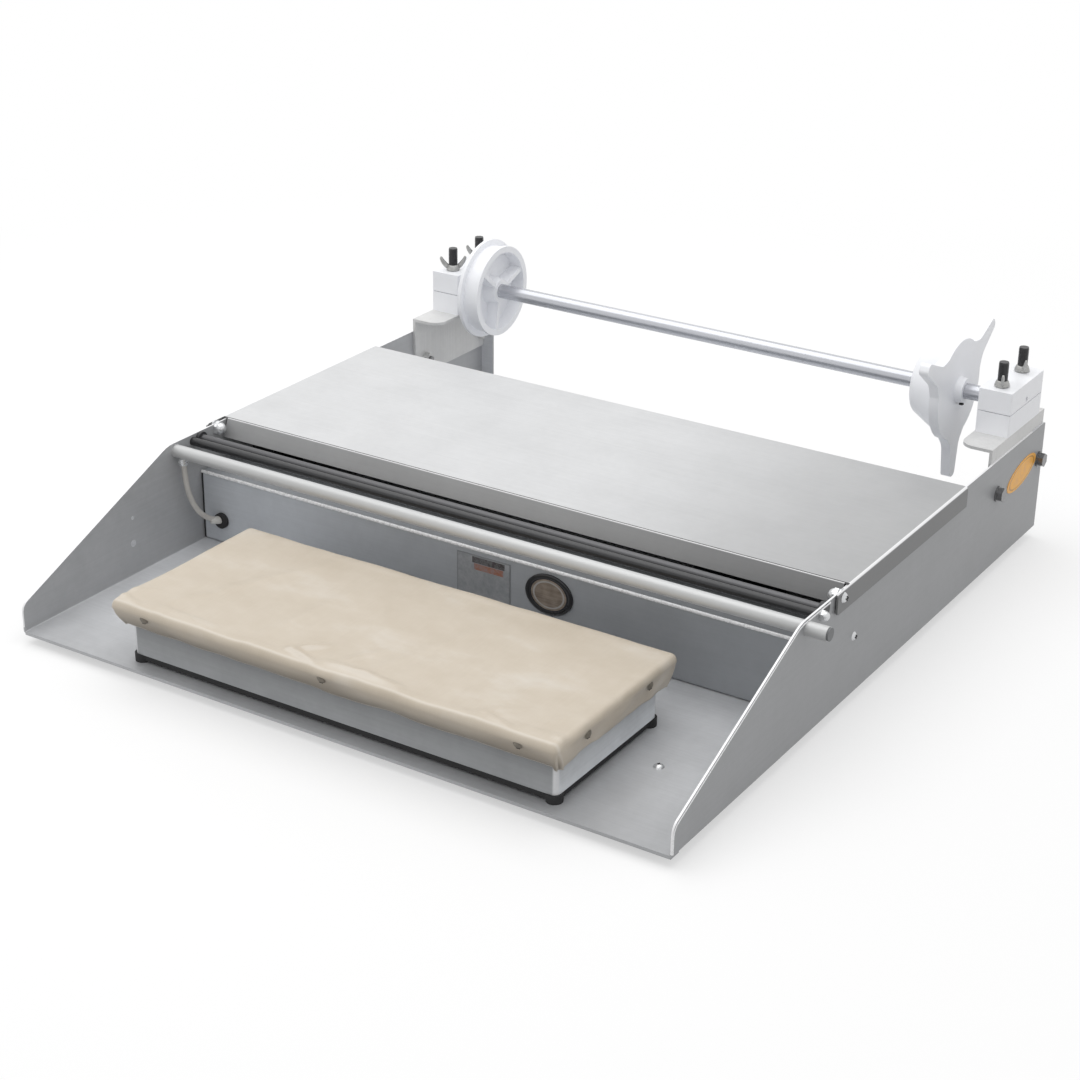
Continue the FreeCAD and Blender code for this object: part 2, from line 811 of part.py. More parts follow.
def plate_gland():
    """Cable gland in the back of the hot plate's box."""
    back = box_back()
    outside = hexagon(gland_radius * 3, Vector(plate_lead_x, back, plate_lead_z()),
                      Vector(plate_lead_x, back + 4, plate_lead_z()))
    stem = bar(gland_radius, Vector(plate_lead_x, back - sheet - 4, plate_lead_z()),
               Vector(plate_lead_x, back + 9, plate_lead_z()))
    hole = bar(lead_radius, Vector(plate_lead_x, back - sheet - 5, plate_lead_z()),
               Vector(plate_lead_x, back + 10, plate_lead_z()))
    return outside.fuse(stem).cut(hole)


def plate_feet():
    """One moulded black frame under the box, with a foot at each corner."""
    low = box_base - base_frame_height
    frame = prism_z(hot_rectangle(box_length - 2 * base_frame_inset,
                                  box_width - 2 * base_frame_inset,
                                  box_corner - base_frame_inset), low, box_base)
    inner = prism_z(hot_rectangle(box_length - 2 * base_frame_width,
                                  box_width - 2 * base_frame_width, box_corner - sheet),
                    low - 1, box_base + 1)
    feet = frame.cut(inner)
    reach_x = box_length / 2 - box_foot_inset
    reach_y = box_width / 2 - box_foot_inset
    for side_x in (-1, 1):
        for side_y in (-1, 1):
            base = Vector(hot_x + side_x * reach_x, hot_y + side_y * reach_y, floor_z)
            feet = feet.fuse(Part.makeCylinder(box_foot_radius, box_base - floor_z, base))
    return feet.removeSplitter()


def plate_stud_places():
    reach_x = box_length / 2 - plate_stud_inset
    reach_y = box_width / 2 - plate_stud_inset
    return [(hot_x + x, hot_y + y) for x in (-reach_x, reach_x) for y in (-reach_y, reach_y)]


def plate_studs():
    """Spacer studs that carry the heating plate on the floor of its box."""
    low = box_base + sheet
    return Part.makeCompound([bar(plate_stud_radius, Vector(x, y, low), Vector(x, y, plate_under))
                              for x, y in plate_stud_places()])


def insulation_pad():
    low = box_base + sheet
    inset = 2 * sheet + 2 * pad_gap
    pad = prism_z(hot_rectangle(box_length - inset, box_width - inset, box_corner - sheet),
                  low, mat_under)
    gland_room = box(plate_lead_x - gland_radius - 2, plate_lead_x + gland_radius + 2, box_back() - 12,
                     box_back(), low - 1, plate_lead_z() + gland_radius + 2)
    pocket = bar(cutout_radius + pad_gap, cutout_place().sub(Vector(0, 0, cutout_height + 6)),
                 cutout_place())
    return pad.cut(Part.makeCompound([plate_studs(), gland_room, pocket]))


def heater_mat():
    mat = prism_z(hot_rectangle(box_length - mat_inset, box_width - mat_inset, box_corner),
                  mat_under, plate_under)
    return mat.cut(plate_studs())


def heating_plate():
    """Plate with a turned-down rim that takes the cloth's screws."""
    plate = prism_z(hot_rectangle(plate_length, plate_width, box_corner), plate_under, plate_top)
    outside = 2 * rim_inset
    inside = outside + 2 * rim_thickness
    rim = prism_z(hot_rectangle(plate_length - outside, plate_width - outside, box_corner),
                  plate_under - rim_drop, plate_under)
    room = prism_z(hot_rectangle(plate_length - inside, plate_width - inside,
                                 box_corner - rim_thickness),
                   plate_under - rim_drop - 1, plate_under)
    return plate.fuse(rim.cut(room)).cut(Part.makeCompound(cloth_shanks())).removeSplitter()


def cutout_place():
    return Vector(hot_x + cutout_reach, hot_y, mat_under)


def plate_cutout():
    """Bimetal thermal cut-out pressed up against the heater mat."""
    place = cutout_place()
    low = place.z - cutout_height
    body = bar(cutout_radius, Vector(place.x, place.y, low), place)
    for side in (-1, 1):
        x = place.x + side * cutout_radius * 0.6
        body = body.fuse(box(x - 2.5, x + 2.5, place.y - 0.5, place.y + 0.5, low - 4, low))
    return body


def cloth_edge(length, width, z):
    points = hot_rectangle(length, width, box_corner + 1)
    return outline(points, lambda x, y: Vector(x, y, z))


def cloth_sizes():
    """Length and width of the cloth's outside at its top, and at the foot of its skirt."""
    wide = (plate_length + 2 * cloth_overhang, plate_width + 2 * cloth_overhang)
    slack = 2 * (cloth_thickness + cloth_gap)
    return wide, (box_length + slack, box_width + slack)


def plate_cloth():
    """Thin cover: flat top, a turned edge, and a skirt that slopes in towards the box."""
    wide, narrow = cloth_sizes()
    low = cloth_top - skirt_fall
    thin = 2 * cloth_thickness
    outer = Part.makeLoft([cloth_edge(narrow[0], narrow[1], low),
                           cloth_edge(wide[0], wide[1], plate_under)], True, True)
    outer = outer.fuse(prism_z(hot_rectangle(wide[0], wide[1], box_corner + 1),
                               plate_under, cloth_top))
    inner = Part.makeLoft([cloth_edge(narrow[0] - thin, narrow[1] - thin, low - 0.01),
                           cloth_edge(wide[0] - thin, wide[1] - thin, plate_under)],
                          True, True)
    inner = inner.fuse(prism_z(hot_rectangle(wide[0] - thin, wide[1] - thin, box_corner),
                               plate_under, plate_top))
    cover = outer.cut(inner)
    return cover.cut(Part.makeCompound(cloth_shanks())).removeSplitter()


def cloth_screw_places():
    """Middle of each screw head on the sloping skirt, the way its shank goes in, how far."""
    wide, narrow = cloth_sizes()
    z = plate_under - rim_screw_drop
    share = rim_screw_drop / (plate_under - cloth_top + skirt_fall)
    half_long = (wide[0] + (narrow[0] - wide[0]) * share) / 2
    half_wide = (wide[1] + (narrow[1] - wide[1]) * share) / 2
    depth = rim_inset + rim_thickness + screw_tip
    reach_long = half_long - plate_length / 2 + depth
    reach_wide = half_wide - plate_width / 2 + depth
    places = []
    for way in (-1, 1):
        for step in (-1, 0, 1):
            places.append((Vector(hot_x + step * cloth_screw_spacing,
                                  hot_y + way * half_wide, z), Vector(0, -way, 0), reach_wide))
        for step in (-1, 1):
            places.append((Vector(hot_x + way * half_long, hot_y + step * cloth_side_screw, z),
                           Vector(-way, 0, 0), reach_long))
    return places


def cloth_shanks():
    """Shanks of the cloth screws, through the skirt and the plate's rim."""
    return [bar(cloth_screw_shank, place, place.add(way * reach))
            for place, way, reach in cloth_screw_places()]


def cloth_screws():
    wide, narrow = cloth_sizes()
    rise = plate_under - (cloth_top - skirt_fall)
    screws = []
    for (place, way, reach), shank in zip(cloth_screw_places(), cloth_shanks()):
        side = 0 if abs(way.x) > abs(way.y) else 1
        run = (wide[side] - narrow[side]) / 2
        facing = way * (-rise) + Vector(0, 0, -run)
        facing.normalize()
        head = pan_head(cloth_screw_radius, cloth_screw_height, place, facing)
        screws.append(head.fuse(shank))
    return Part.makeCompound(screws)


# Roll brackets and bearing blocks


def bracket(side):
    outside = side * inner_half
    inside = side * (inner_half - bracket_flange)
    leg_in = side * (inner_half - bracket_sheet)
    leg = box(min(outside, leg_in), max(outside, leg_in), bracket_front, bracket_back,
              bracket_bottom, bracket_top)
    corner = [(outside, bracket_front, 0), (inside, bracket_front, bracket_corner),
              (inside, bracket_back, bracket_corner / 2), (outside, bracket_back, 0)]
    flange = prism_z(corner, bracket_top - bracket_sheet, bracket_top)
    holes = []
    for y in bracket_bolt_places():
        holes.append(across_wall(side, inner_half - bracket_sheet - 1, inner_half + 1, y,
                                 bracket_bolt_z, bracket_bolt_radius + stud_hole_gap))
    for x, y in stud_places(side):
        holes.append(bar(stud_radius + stud_hole_gap, Vector(x, y, bracket_top - 5),
                         Vector(x, y, bracket_top + 1)))
    return leg.fuse(flange).cut(Part.makeCompound(holes)).removeSplitter()


def stud_places(side):
    x = side * (block_inner + block_outer) / 2
    return [(x, shaft_y - stud_half_spacing), (x, shaft_y + stud_half_spacing)]


def bracket_bolts():
    bolts = []
    for side in (-1, 1):
        for y in bracket_bolt_places():
            flats = bracket_bolt_radius * 2 * hex_ratio
            start = side * half_width
            head = hexagon(flats, Vector(start, y, bracket_bolt_z),
                           Vector(start + side * 5.8, y, bracket_bolt_z))
            collar = across_wall(side, half_width, half_width + 1.3, y, bracket_bolt_z,
                                 bolt_flange)
            shank = across_wall(side, inner_half - bracket_sheet - 7, half_width, y,
                                bracket_bolt_z, bracket_bolt_radius)
            bolts.append(head.fuse([collar, shank]))
    return Part.makeCompound(bolts)


def bracket_nuts():
    nuts = []
    for side in (-1, 1):
        for y in bracket_bolt_places():
            flats = bracket_bolt_radius * 2 * hex_ratio
            face = inner_half - bracket_sheet
            nut = hexagon(flats, Vector(side * face, y, bracket_bolt_z),
                          Vector(side * (face - 5.0), y, bracket_bolt_z))
            nuts.append(nut.cut(across_wall(side, face - 6, face + 1, y, bracket_bolt_z,
                                            bracket_bolt_radius)))
    return Part.makeCompound(nuts)


def block_half(side, upper):
    low = block_bottom if not upper else shaft_z + block_seam / 2
    high = shaft_z - block_seam / 2 if not upper else block_top
    x_ends = sorted((side * block_inner, side * block_outer))
    body = box(x_ends[0], x_ends[1], shaft_y - block_width / 2, shaft_y + block_width / 2,
               low, high)
    edges = [edge for edge in body.Edges
             if abs(edge.Vertexes[0].Point.z - edge.Vertexes[1].Point.z) > 1]
    body = body.makeFillet(block_edge, edges)
    holes = [across_wall(side, block_inner - 1, block_outer - block_end_wall, shaft_y,
                         shaft_z, shaft_radius + running_gap),
             across_wall(side, block_inner, block_outer + 1, shaft_y, shaft_z + block_mark_rise,
                         block_mark_radius)]
    for x, y in stud_places(side):
        holes.append(bar(stud_radius + stud_hole_gap, Vector(x, y, low - 1),
                         Vector(x, y, high + 1)))
    return body.cut(Part.makeCompound(holes))


def clamp_studs():
    studs = []
    for side in (-1, 1):
        for x, y in stud_places(side):
            under = bracket_top - bracket_sheet
            head = hexagon(stud_radius * 2 * hex_ratio, Vector(x, y, under - 4),
                           Vector(x, y, under))
            shank = bar(stud_radius, Vector(x, y, under), Vector(x, y, block_top + stud_reach))
            studs.append(head.fuse(shank))
    return Part.makeCompound(studs)


def wing_nut(x, y, turn):
    """Nut with two upswept wings, standing on the block; turn is about its stud."""
    base = Part.makeCone(wing_base_radius, wing_base_radius * 0.8, wing_base_height)
    half = wing_thickness / 2
    nut = base
    for side in (-1, 1):
        points = [(side * stud_radius, 0.8, 0), (side * wing_base_radius, 0.8, 1.0),
                  (side * wing_reach, wing_height * 0.62, 2.5),
                  (side * wing_reach * 0.96, wing_height, 2.0),
                  (side * wing_reach * 0.70, wing_height * 0.92, 2.0),
                  (side * stud_radius * 1.3, wing_base_height, 0)]
        nut = nut.fuse(prism_y(points, -half, half))
    nut = nut.cut(Part.makeCylinder(stud_radius + running_gap, wing_height * 2,
                                    Vector(0, 0, -1)))
    nut = nut.removeSplitter()
    nut.Placement = FreeCAD.Placement(Vector(x, y, block_top),
                                      FreeCAD.Rotation(Vector(0, 0, 1), turn))
    return nut


def roll_shaft():
    reach = block_outer - block_end_wall - shaft_end_gap
    shaft = bar(shaft_radius, Vector(-reach, shaft_y, shaft_z), Vector(reach, shaft_y, shaft_z))
    edges = [edge for edge in shaft.Edges if edge.Length < shaft_radius * 7
             and len(edge.Vertexes) == 1]
    return shaft.makeChamfer(0.8, edges)


# Core cup and core cone


def core_cup():
    back = -cup_back
    front = back + cup_flange_thickness + cup_depth
    boss_back = -(block_inner - 0.5)
    profile = [(back, shaft_radius), (back, cup_flange_radius - 1),
               (back + 1, cup_flange_radius),
               (back + cup_flange_thickness, cup_flange_radius),
               (back + cup_flange_thickness, cup_radius),
               (front - cup_lip, cup_radius), (front - cup_lip, cup_lip_radius),
               (front, cup_lip_radius), (front, cup_radius - cup_wall),
               (back + cup_flange_thickness + cup_floor - 2, cup_radius - cup_wall),
               (back + cup_flange_thickness + cup_floor - 2, cup_boss_radius),
               (front - 1, cup_boss_radius * 0.8), (front - 1, shaft_radius)]
    cup = turned_x(profile, shaft_y, shaft_z)
    rear_boss = turned_x([(boss_back, shaft_radius), (boss_back, cup_boss_radius),
                          (back, cup_boss_radius), (back, shaft_radius)], shaft_y, shaft_z)
    cup = cup.fuse(rear_boss)
    reach = cup_radius - cup_wall + 1
    for index in range(star_lobes):
        rib = box(back + 1, front - 1.5, shaft_y - cup_rib / 2, shaft_y + cup_rib / 2,
                  shaft_z + cup_boss_radius * 0.7, shaft_z + reach)
        rib.rotate(Vector(0, shaft_y, shaft_z), Vector(1, 0, 0), 50 + index * 360 / star_lobes)
        cup = cup.fuse(rib)
    screw = cup_screw_place()
    hole = bar(set_screw_radius, screw, Vector(screw.x, shaft_y, shaft_z + cup_boss_radius + 1))
    return cup.cut(hole).cut(bar(shaft_radius, Vector(boss_back - 1, shaft_y, shaft_z),
                                 Vector(front + 1, shaft_y, shaft_z))).removeSplitter()


def cup_screw_place():
    boss_back = -(block_inner - 0.5)
    return Vector((boss_back - cup_back) / 2, shaft_y, shaft_z + shaft_radius)


def cup_set_screw():
    foot = cup_screw_place()
    return bar(set_screw_radius, foot, Vector(foot.x, shaft_y, shaft_z + cup_boss_radius - 0.5))


def star_lobe():
    """One tapering arm of the star, pointing up, seen along X."""
    low = shaft_z + star_disc_radius * 0.75
    tip = shaft_z + star_reach
    half = star_tip_radius
    waist = shaft_z + star_disc_radius + 6
    points = [(shaft_y - star_root_half * 1.5, low, 0),
              (shaft_y - star_root_half * 0.55, waist, 14.0),
              (shaft_y - half, tip, half * 0.85), (shaft_y + half, tip, half * 0.85),
              (shaft_y + star_root_half * 0.55, waist, 14.0),
              (shaft_y + star_root_half * 1.5, low, 0)]
    return prism_x(points, cone_base_x, cone_base_x + star_thickness)


def star_cone():
    back = cone_base_x + star_thickness
    end = back + star_back_boss
    profile = [(cone_tip_x, shaft_radius), (cone_tip_x, cone_tip_radius - 1.5),
               (cone_tip_x + 1.5, cone_tip_radius), (cone_base_x, cone_base_radius),
               (cone_base_x, star_disc_radius), (back, star_disc_radius),
               (back, star_back_boss_radius), (end, star_back_boss_radius - 1),
               (end, shaft_radius)]
    star = turned_x(profile, shaft_y, shaft_z)
    lobe = star_lobe()
    for index in range(star_lobes):
        arm = lobe.copy()
        angle = star_first_angle - 90 + index * 360 / star_lobes
        arm.rotate(Vector(0, shaft_y, shaft_z), Vector(1, 0, 0), angle)
        star = star.fuse(arm)
    bore = bar(shaft_radius + running_gap, Vector(cone_tip_x - 1, shaft_y, shaft_z),
               Vector(end + 1, shaft_y, shaft_z))
    screw = star_screw_place()
    hole = bar(set_screw_radius, Vector(screw.x, shaft_y, shaft_z),
               Vector(screw.x, shaft_y, shaft_z - star_back_boss_radius - 1))
    return star.cut(bore).cut(hole).removeSplitter()


def star_screw_place():
    x = cone_base_x + star_thickness + star_back_boss / 2
    return Vector(x, shaft_y, shaft_z - shaft_radius - running_gap)


def star_set_screw():
    foot = star_screw_place()
    return bar(set_screw_radius, foot,
               Vector(foot.x, shaft_y, shaft_z - star_back_boss_radius - 1.5))


# Badges


def panel_badge():
    base = Vector(badge_x, panel_front, badge_z)
    return ellipse_prism(badge_half_width, badge_half_height, base, Vector(0, -1, 0),
                         badge_thickness, 0)


def data_plate():
    return box(data_plate_x - data_plate_width / 2, data_plate_x + data_plate_width / 2,
               panel_front - plate_sheet, panel_front,
               data_plate_z - data_plate_height / 2, data_plate_z + data_plate_height / 2)


def wall_badge():
    base = Vector(half_width, oval_y, oval_z)
    return ellipse_prism(oval_half_width, oval_half_height, base, Vector(1, 0, 0),
                         oval_thickness, oval_tilt)


# Controls and electrics


def thermostat():
    back = -inner_half
    body = box(back, back + thermostat_depth, knob_y - thermostat_width / 2,
               knob_y + thermostat_width / 2, control_z - thermostat_height / 2,
               control_z + thermostat_height / 2)
    bush = bar(spindle_radius + spindle_bush_wall, Vector(back, knob_y, control_z),
               Vector(-half_width - knob_gap / 2, knob_y, control_z))
    bore = bar(spindle_radius + running_gap,
               Vector(back + thermostat_depth * 0.6, knob_y, control_z),
               Vector(-half_width - knob_gap, knob_y, control_z))
    return body.fuse(bush).cut(bore)


def thermostat_spindle():
    return bar(spindle_radius, Vector(-inner_half + thermostat_depth * 0.6, knob_y, control_z),
               Vector(-half_width - spindle_reach, knob_y, control_z))


def thermostat_knob():
    face = -(half_width + knob_reach)
    low = -(half_width + knob_gap)
    skirt = turned_x([(low, 0), (low, knob_radius), (low - 3, knob_radius),
                      (low - 4, knob_radius * 0.8), (face + 1, knob_radius * 0.72),
                      (face, knob_radius * 0.66), (face, 0)], knob_y, control_z)
    groove = box(face - 1, face + 0.8, knob_y - 0.8, knob_y + 0.8,
                 control_z + knob_radius * 0.2, control_z + knob_radius)
    return skirt.cut(groove).cut(thermostat_spindle())


def rocker_opening():
    """Y and Z limits of the hole for the rocker's frame."""
    half_y = rocker_width / 2 + rocker_play + rocker_frame_wall
    half_z = rocker_circle() + rocker_play + rocker_frame_wall
    return (rocker_y - half_y, rocker_y + half_y, control_z - half_z, control_z + half_z)


def rocker_circle():
    return math.hypot(rocker_half_height, rocker_raise)


def rocker_frame():
    y0, y1, z0, z1 = rocker_opening()
    lip = rocker_frame_lip
    inside = -half_width + rocker_frame_depth
    bezel = prism_x([(y0 - lip, z0 - lip, 1.0), (y1 + lip, z0 - lip, 1.0),
                     (y1 + lip, z1 + lip, 1.0), (y0 - lip, z1 + lip, 1.0)],
                    -half_width - lip, -half_width)
    well = box(-half_width - lip, inside, y0, y1, z0, z1)
    wall = rocker_frame_wall
    hollow = box(-half_width - lip - 1, inside - 6, y0 + wall, y1 - wall, z0 + wall, z1 - wall)
    pin = bar(1.5, Vector(rocker_axis_x(), y0 + wall / 2, control_z),
              Vector(rocker_axis_x(), y1 - wall / 2, control_z))
    return bezel.fuse(well).cut(hollow).fuse(pin)


def rocker_axis_x():
    return -half_width


def power_rocker():
    """Rocker at off, its lower half pressed in; it tips about a pin along Y."""
    x = rocker_axis_x()
    half_y = rocker_width / 2
    swing = math.radians(rocker_swing)
    high = (rocker_raise, rocker_half_height)
    low = (high[0] * math.cos(swing) - high[1] * math.sin(swing),
           -(high[0] * math.sin(swing) + high[1] * math.cos(swing)))
    waist = rocker_raise * 0.45
    points = [(x - high[0], control_z + high[1], 0.6), (x - waist, control_z, 0),
              (x - low[0], control_z + low[1], 0.6), (x + 4, control_z - 6, 1.0),
              (x + 4, control_z + 6, 1.0)]
    body = prism_y(points, rocker_y - half_y, rocker_y + half_y)
    hole = bar(1.5 + running_gap, Vector(x, rocker_y - half_y - 1, control_z),
               Vector(x, rocker_y + half_y + 1, control_z))
    return body.cut(hole)


def mains_inlet():
    face = rear_panel_face + inlet_flange_thickness
    flange = prism_y(rectangle(inlet_x - inlet_flange_width / 2,
                               inlet_x + inlet_flange_width / 2,
                               inlet_z - inlet_flange_height / 2,
                               inlet_z + inlet_flange_height / 2, 4.0),
                     rear_panel_face, face)
    body = box(inlet_x - inlet_width / 2, inlet_x + inlet_width / 2, face - inlet_depth, face,
               inlet_z - inlet_height / 2, inlet_z + inlet_height / 2)
    wall = inlet_wall
    x0 = inlet_x - inlet_width / 2 + wall
    x1 = inlet_x + inlet_width / 2 - wall
    z0 = inlet_z - inlet_height / 2 + wall
    z1 = inlet_z + inlet_height / 2 - wall
    recess = prism_y([(x0, z0, 1.0), (x1, z0, 1.0), (x1, z1 - 4, 1.0), (x1 - 4, z1, 1.0),
                      (x0 + 4, z1, 1.0), (x0, z1 - 4, 1.0)], face - inlet_recess, face + 1)
    socket = flange.fuse(body).cut(recess)
    floor = face - inlet_recess
    for dx, dz in ((-7.0, -1.5), (0.0, 2.5), (7.0, -1.5)):
        socket = socket.fuse(box(inlet_x + dx - 1, inlet_x + dx + 1, floor - 1,
                                 floor + pin_length, inlet_z + dz - 2, inlet_z + dz + 2))
    for side in (-1, 1):
        x = inlet_x + side * (inlet_width / 2 + 5.5)
        head = pan_head(3.0, 1.5, Vector(x, face, inlet_z), Vector(0, 1, 0))
        socket = socket.fuse(head)
    return socket


def transformer():
    low = floor_z
    core = box(transformer_x - transformer_width / 2, transformer_x + transformer_width / 2,
               transformer_y - transformer_depth / 4, transformer_y + transformer_depth / 4,
               low, low + transformer_height)
    coil = prism_x([(transformer_y - transformer_depth / 2, low + coil_bulge, 4.0),
                    (transformer_y + transformer_depth / 2, low + coil_bulge, 4.0),
                    (transformer_y + transformer_depth / 2,
                     low + transformer_height - coil_bulge, 4.0),
                    (transformer_y - transformer_depth / 2,
                     low + transformer_height - coil_bulge, 4.0)],
                   transformer_x - transformer_width / 4, transformer_x + transformer_width / 4)
    return core.fuse(coil).removeSplitter()


def terminal_block():
    step = terminal_length / terminal_count
    low = floor_z
    start = terminal_x - terminal_length / 2
    strip = box(start, start + terminal_length, terminal_y - terminal_width / 2,
                terminal_y + terminal_width / 2, low, low + terminal_height * 0.6)
    for index in range(terminal_count):
        x = start + index * step
        strip = strip.fuse(box(x + 1, x + step - 1, terminal_y - terminal_width / 4,
                               terminal_y + terminal_width / 4, low, low + terminal_height))
    return strip.removeSplitter()


# Everything, by node name

wing_turns = {"left_front_wing_nut": (-1, 0, 38), "left_rear_wing_nut": (-1, 1, 40),
              "right_front_wing_nut": (1, 0, 112), "right_rear_wing_nut": (1, 1, 124)}


def all_nodes():
    nodes = {
        "base_tray": base_tray(), "base_feet": base_feet(), "foot_screws": foot_screws(),
        "front_panel": front_panel(), "rear_panel": rear_panel(),
        "side_screws": side_screws(), "deck_cover": deck_cover(),
        "pivot_bolts": pivot_bolts(), "pivot_washers": pivot_washers(),
        "acorn_nuts": acorn_nuts(), "rear_guide_rod": rear_guide_rod(),
        "rod_bushes": rod_bushes(), "front_guide_rod": front_guide_rod(),
        "rod_nuts": rod_nuts(), "cutoff_tube": cutoff_tube(),
        "tube_end_plugs": tube_end_plugs(), "tube_heater": tube_heater(),
        "lead_gland": lead_gland(), "tube_lead": tube_lead(),
        "lead_grommet": lead_grommet(), "plate_lead_grommet": plate_lead_grommet(),
        "plate_box": plate_box(), "plate_gland": plate_gland(), "plate_feet": plate_feet(),
        "plate_studs": plate_studs(),
        "insulation_pad": insulation_pad(), "heater_mat": heater_mat(),
        "heating_plate": heating_plate(), "plate_cutout": plate_cutout(),
        "plate_cloth": plate_cloth(), "cloth_screws": cloth_screws(),
        "left_bracket": bracket(-1), "right_bracket": bracket(1),
        "bracket_bolts": bracket_bolts(), "bracket_nuts": bracket_nuts(),
        "left_block_lower": block_half(-1, False), "left_block_upper": block_half(-1, True),
        "right_block_lower": block_half(1, False), "right_block_upper": block_half(1, True),
        "clamp_studs": clamp_studs(), "roll_shaft": roll_shaft(), "core_cup": core_cup(),
        "cup_set_screw": cup_set_screw(), "star_cone": star_cone(),
        "star_set_screw": star_set_screw(), "panel_badge": panel_badge(),
        "data_plate": data_plate(), "wall_badge": wall_badge(), "thermostat": thermostat(),
        "thermostat_spindle": thermostat_spindle(),
        "thermostat_knob": thermostat_knob(), "rocker_frame": rocker_frame(),
        "power_rocker": power_rocker(), "mains_inlet": mains_inlet(),
        "transformer": transformer(), "terminal_block": terminal_block(),
    }
    for name, (side, index, turn) in wing_turns.items():
        x, y = stud_places(side)[index]
        nodes[name] = wing_nut(x, y, turn)
    return nodes


def origin_shift(nodes):
    """Moves the middle of the overall box, lead left out, over the origin."""
    whole = FreeCAD.BoundBox()
    for name, shape in nodes.items():
        if name != "tube_lead":
            whole.add(shape.optimalBoundingBox(False))
    return Vector(-whole.Center.x, -whole.Center.y, -whole.ZMin)


def main():
    os.makedirs("parts", exist_ok=True)
    nodes = all_nodes()
    shift = origin_shift(nodes)
    whole = FreeCAD.BoundBox()
    for name, shape in nodes.items():
        placed = shape.copy()
        placed.translate(shift)
        if not placed.isValid():
            print("not valid:", name)
        solids = len(placed.Solids)
        if solids == 0:
            print("no solid:", name)
        placed.exportStep(os.path.join("parts", name + ".step"))
        whole.add(placed.BoundBox)
        print(name, solids, round(placed.Volume, 1))
    print("box", whole)
    print("shift", shift)


main()
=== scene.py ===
import json
import math

import bmesh
import bpy
from bpy.props import FloatProperty, FloatVectorProperty, IntProperty, PointerProperty
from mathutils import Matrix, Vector, noise
from mathutils.bvhtree import BVHTree


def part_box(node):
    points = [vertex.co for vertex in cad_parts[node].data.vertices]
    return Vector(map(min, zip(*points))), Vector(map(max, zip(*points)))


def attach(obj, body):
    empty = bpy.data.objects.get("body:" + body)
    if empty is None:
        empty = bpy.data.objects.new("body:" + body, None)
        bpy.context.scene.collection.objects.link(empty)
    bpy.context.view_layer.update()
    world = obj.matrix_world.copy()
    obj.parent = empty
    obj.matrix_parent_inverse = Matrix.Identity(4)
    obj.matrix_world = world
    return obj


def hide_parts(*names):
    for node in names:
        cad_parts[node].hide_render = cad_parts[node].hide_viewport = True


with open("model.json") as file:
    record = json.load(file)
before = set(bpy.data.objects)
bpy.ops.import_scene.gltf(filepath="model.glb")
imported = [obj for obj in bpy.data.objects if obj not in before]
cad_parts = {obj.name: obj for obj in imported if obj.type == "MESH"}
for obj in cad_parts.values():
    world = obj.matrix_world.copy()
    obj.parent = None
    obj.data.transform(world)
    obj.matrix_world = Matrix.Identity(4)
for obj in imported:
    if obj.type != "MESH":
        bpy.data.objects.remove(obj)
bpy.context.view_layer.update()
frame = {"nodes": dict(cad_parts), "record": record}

bl_info = {
    "name": "Film wrapper looks",
    "version": (1, 0, 0),
    "blender": (4, 5, 0),
    "location": "View3D > Sidebar > Film Wrapper",
    "description": "Finishes and fine pieces of a table-top wrapper for stretch film",
    "category": "Object",
}

MM = 0.001
PLAIN = (1.0, 1.0, 1.0)
NOWHERE = (0.0, 0.0, 0.0)
X_WAY, Y_WAY, Z_WAY = Vector((1.0, 0.0, 0.0)), Vector((0.0, 1.0, 0.0)), Vector((0.0, 0.0, 1.0))


# Settings that a user would change


def colour(name, description, default):
    return FloatVectorProperty(name=name, description=description, default=default,
                               subtype="COLOR", size=3, min=0.0, max=1.0)


def length(name, description, default):
    return FloatProperty(name=name, description=description, default=default,
                         unit="LENGTH", subtype="DISTANCE", min=0.0, precision=5)


def share(name, description, default, top=1.0):
    return FloatProperty(name=name, description=description, default=default,
                         min=0.0, max=top, subtype="FACTOR")


class StageSettings(bpy.types.PropertyGroup):
    lens: FloatProperty(name="Lens", description="Focal length of the camera in millimetres",
                        default=74.27, min=10.0)
    lamp_power: FloatProperty(name="Lamp power", description="Power of the overhead soft lamp",
                              default=24.0, unit="POWER", min=0.0)
    lamp_width: length("Lamp width", "Side of the square overhead lamp", 2.4)
    lamp_height: length("Lamp height", "Height of the lamp over the floor", 1.9)
    ambient: share("Ambient", "Grey of the surroundings as they light the object", 0.68)
    floor_grey: share("Floor grey", "Grey of the floor as it lights the object", 0.50)
    floor_radius: length("Floor radius", "Radius of the pale floor", 1.6)
    shadow_share: share("Shadow share", "How strongly the floor shows the shadow", 0.5)


class SheetSettings(bpy.types.PropertyGroup):
    tray: colour("Tray", "Colour of the tray's sheet", (0.505, 0.513, 0.527))
    # The cover is the same steel as the tray; its lighter grey is partly a painted reflection.
    cover: colour("Cover", "Colour of the deck cover's sheet", (0.64, 0.645, 0.652))
    panel: colour("Panels", "Colour of the compartment's panels", (0.345, 0.36, 0.38))
    bracket: colour("Brackets", "Colour of the roll brackets", (0.68, 0.68, 0.675))
    hot_box: colour("Hot plate box", "Colour of the hot plate's sheet box", (0.52, 0.535, 0.55))
    metallic: share("Metallic", "Metal share of the sheets' finish", 0.16)
    roughness: share("Roughness", "Roughness of the sheets", 0.42)


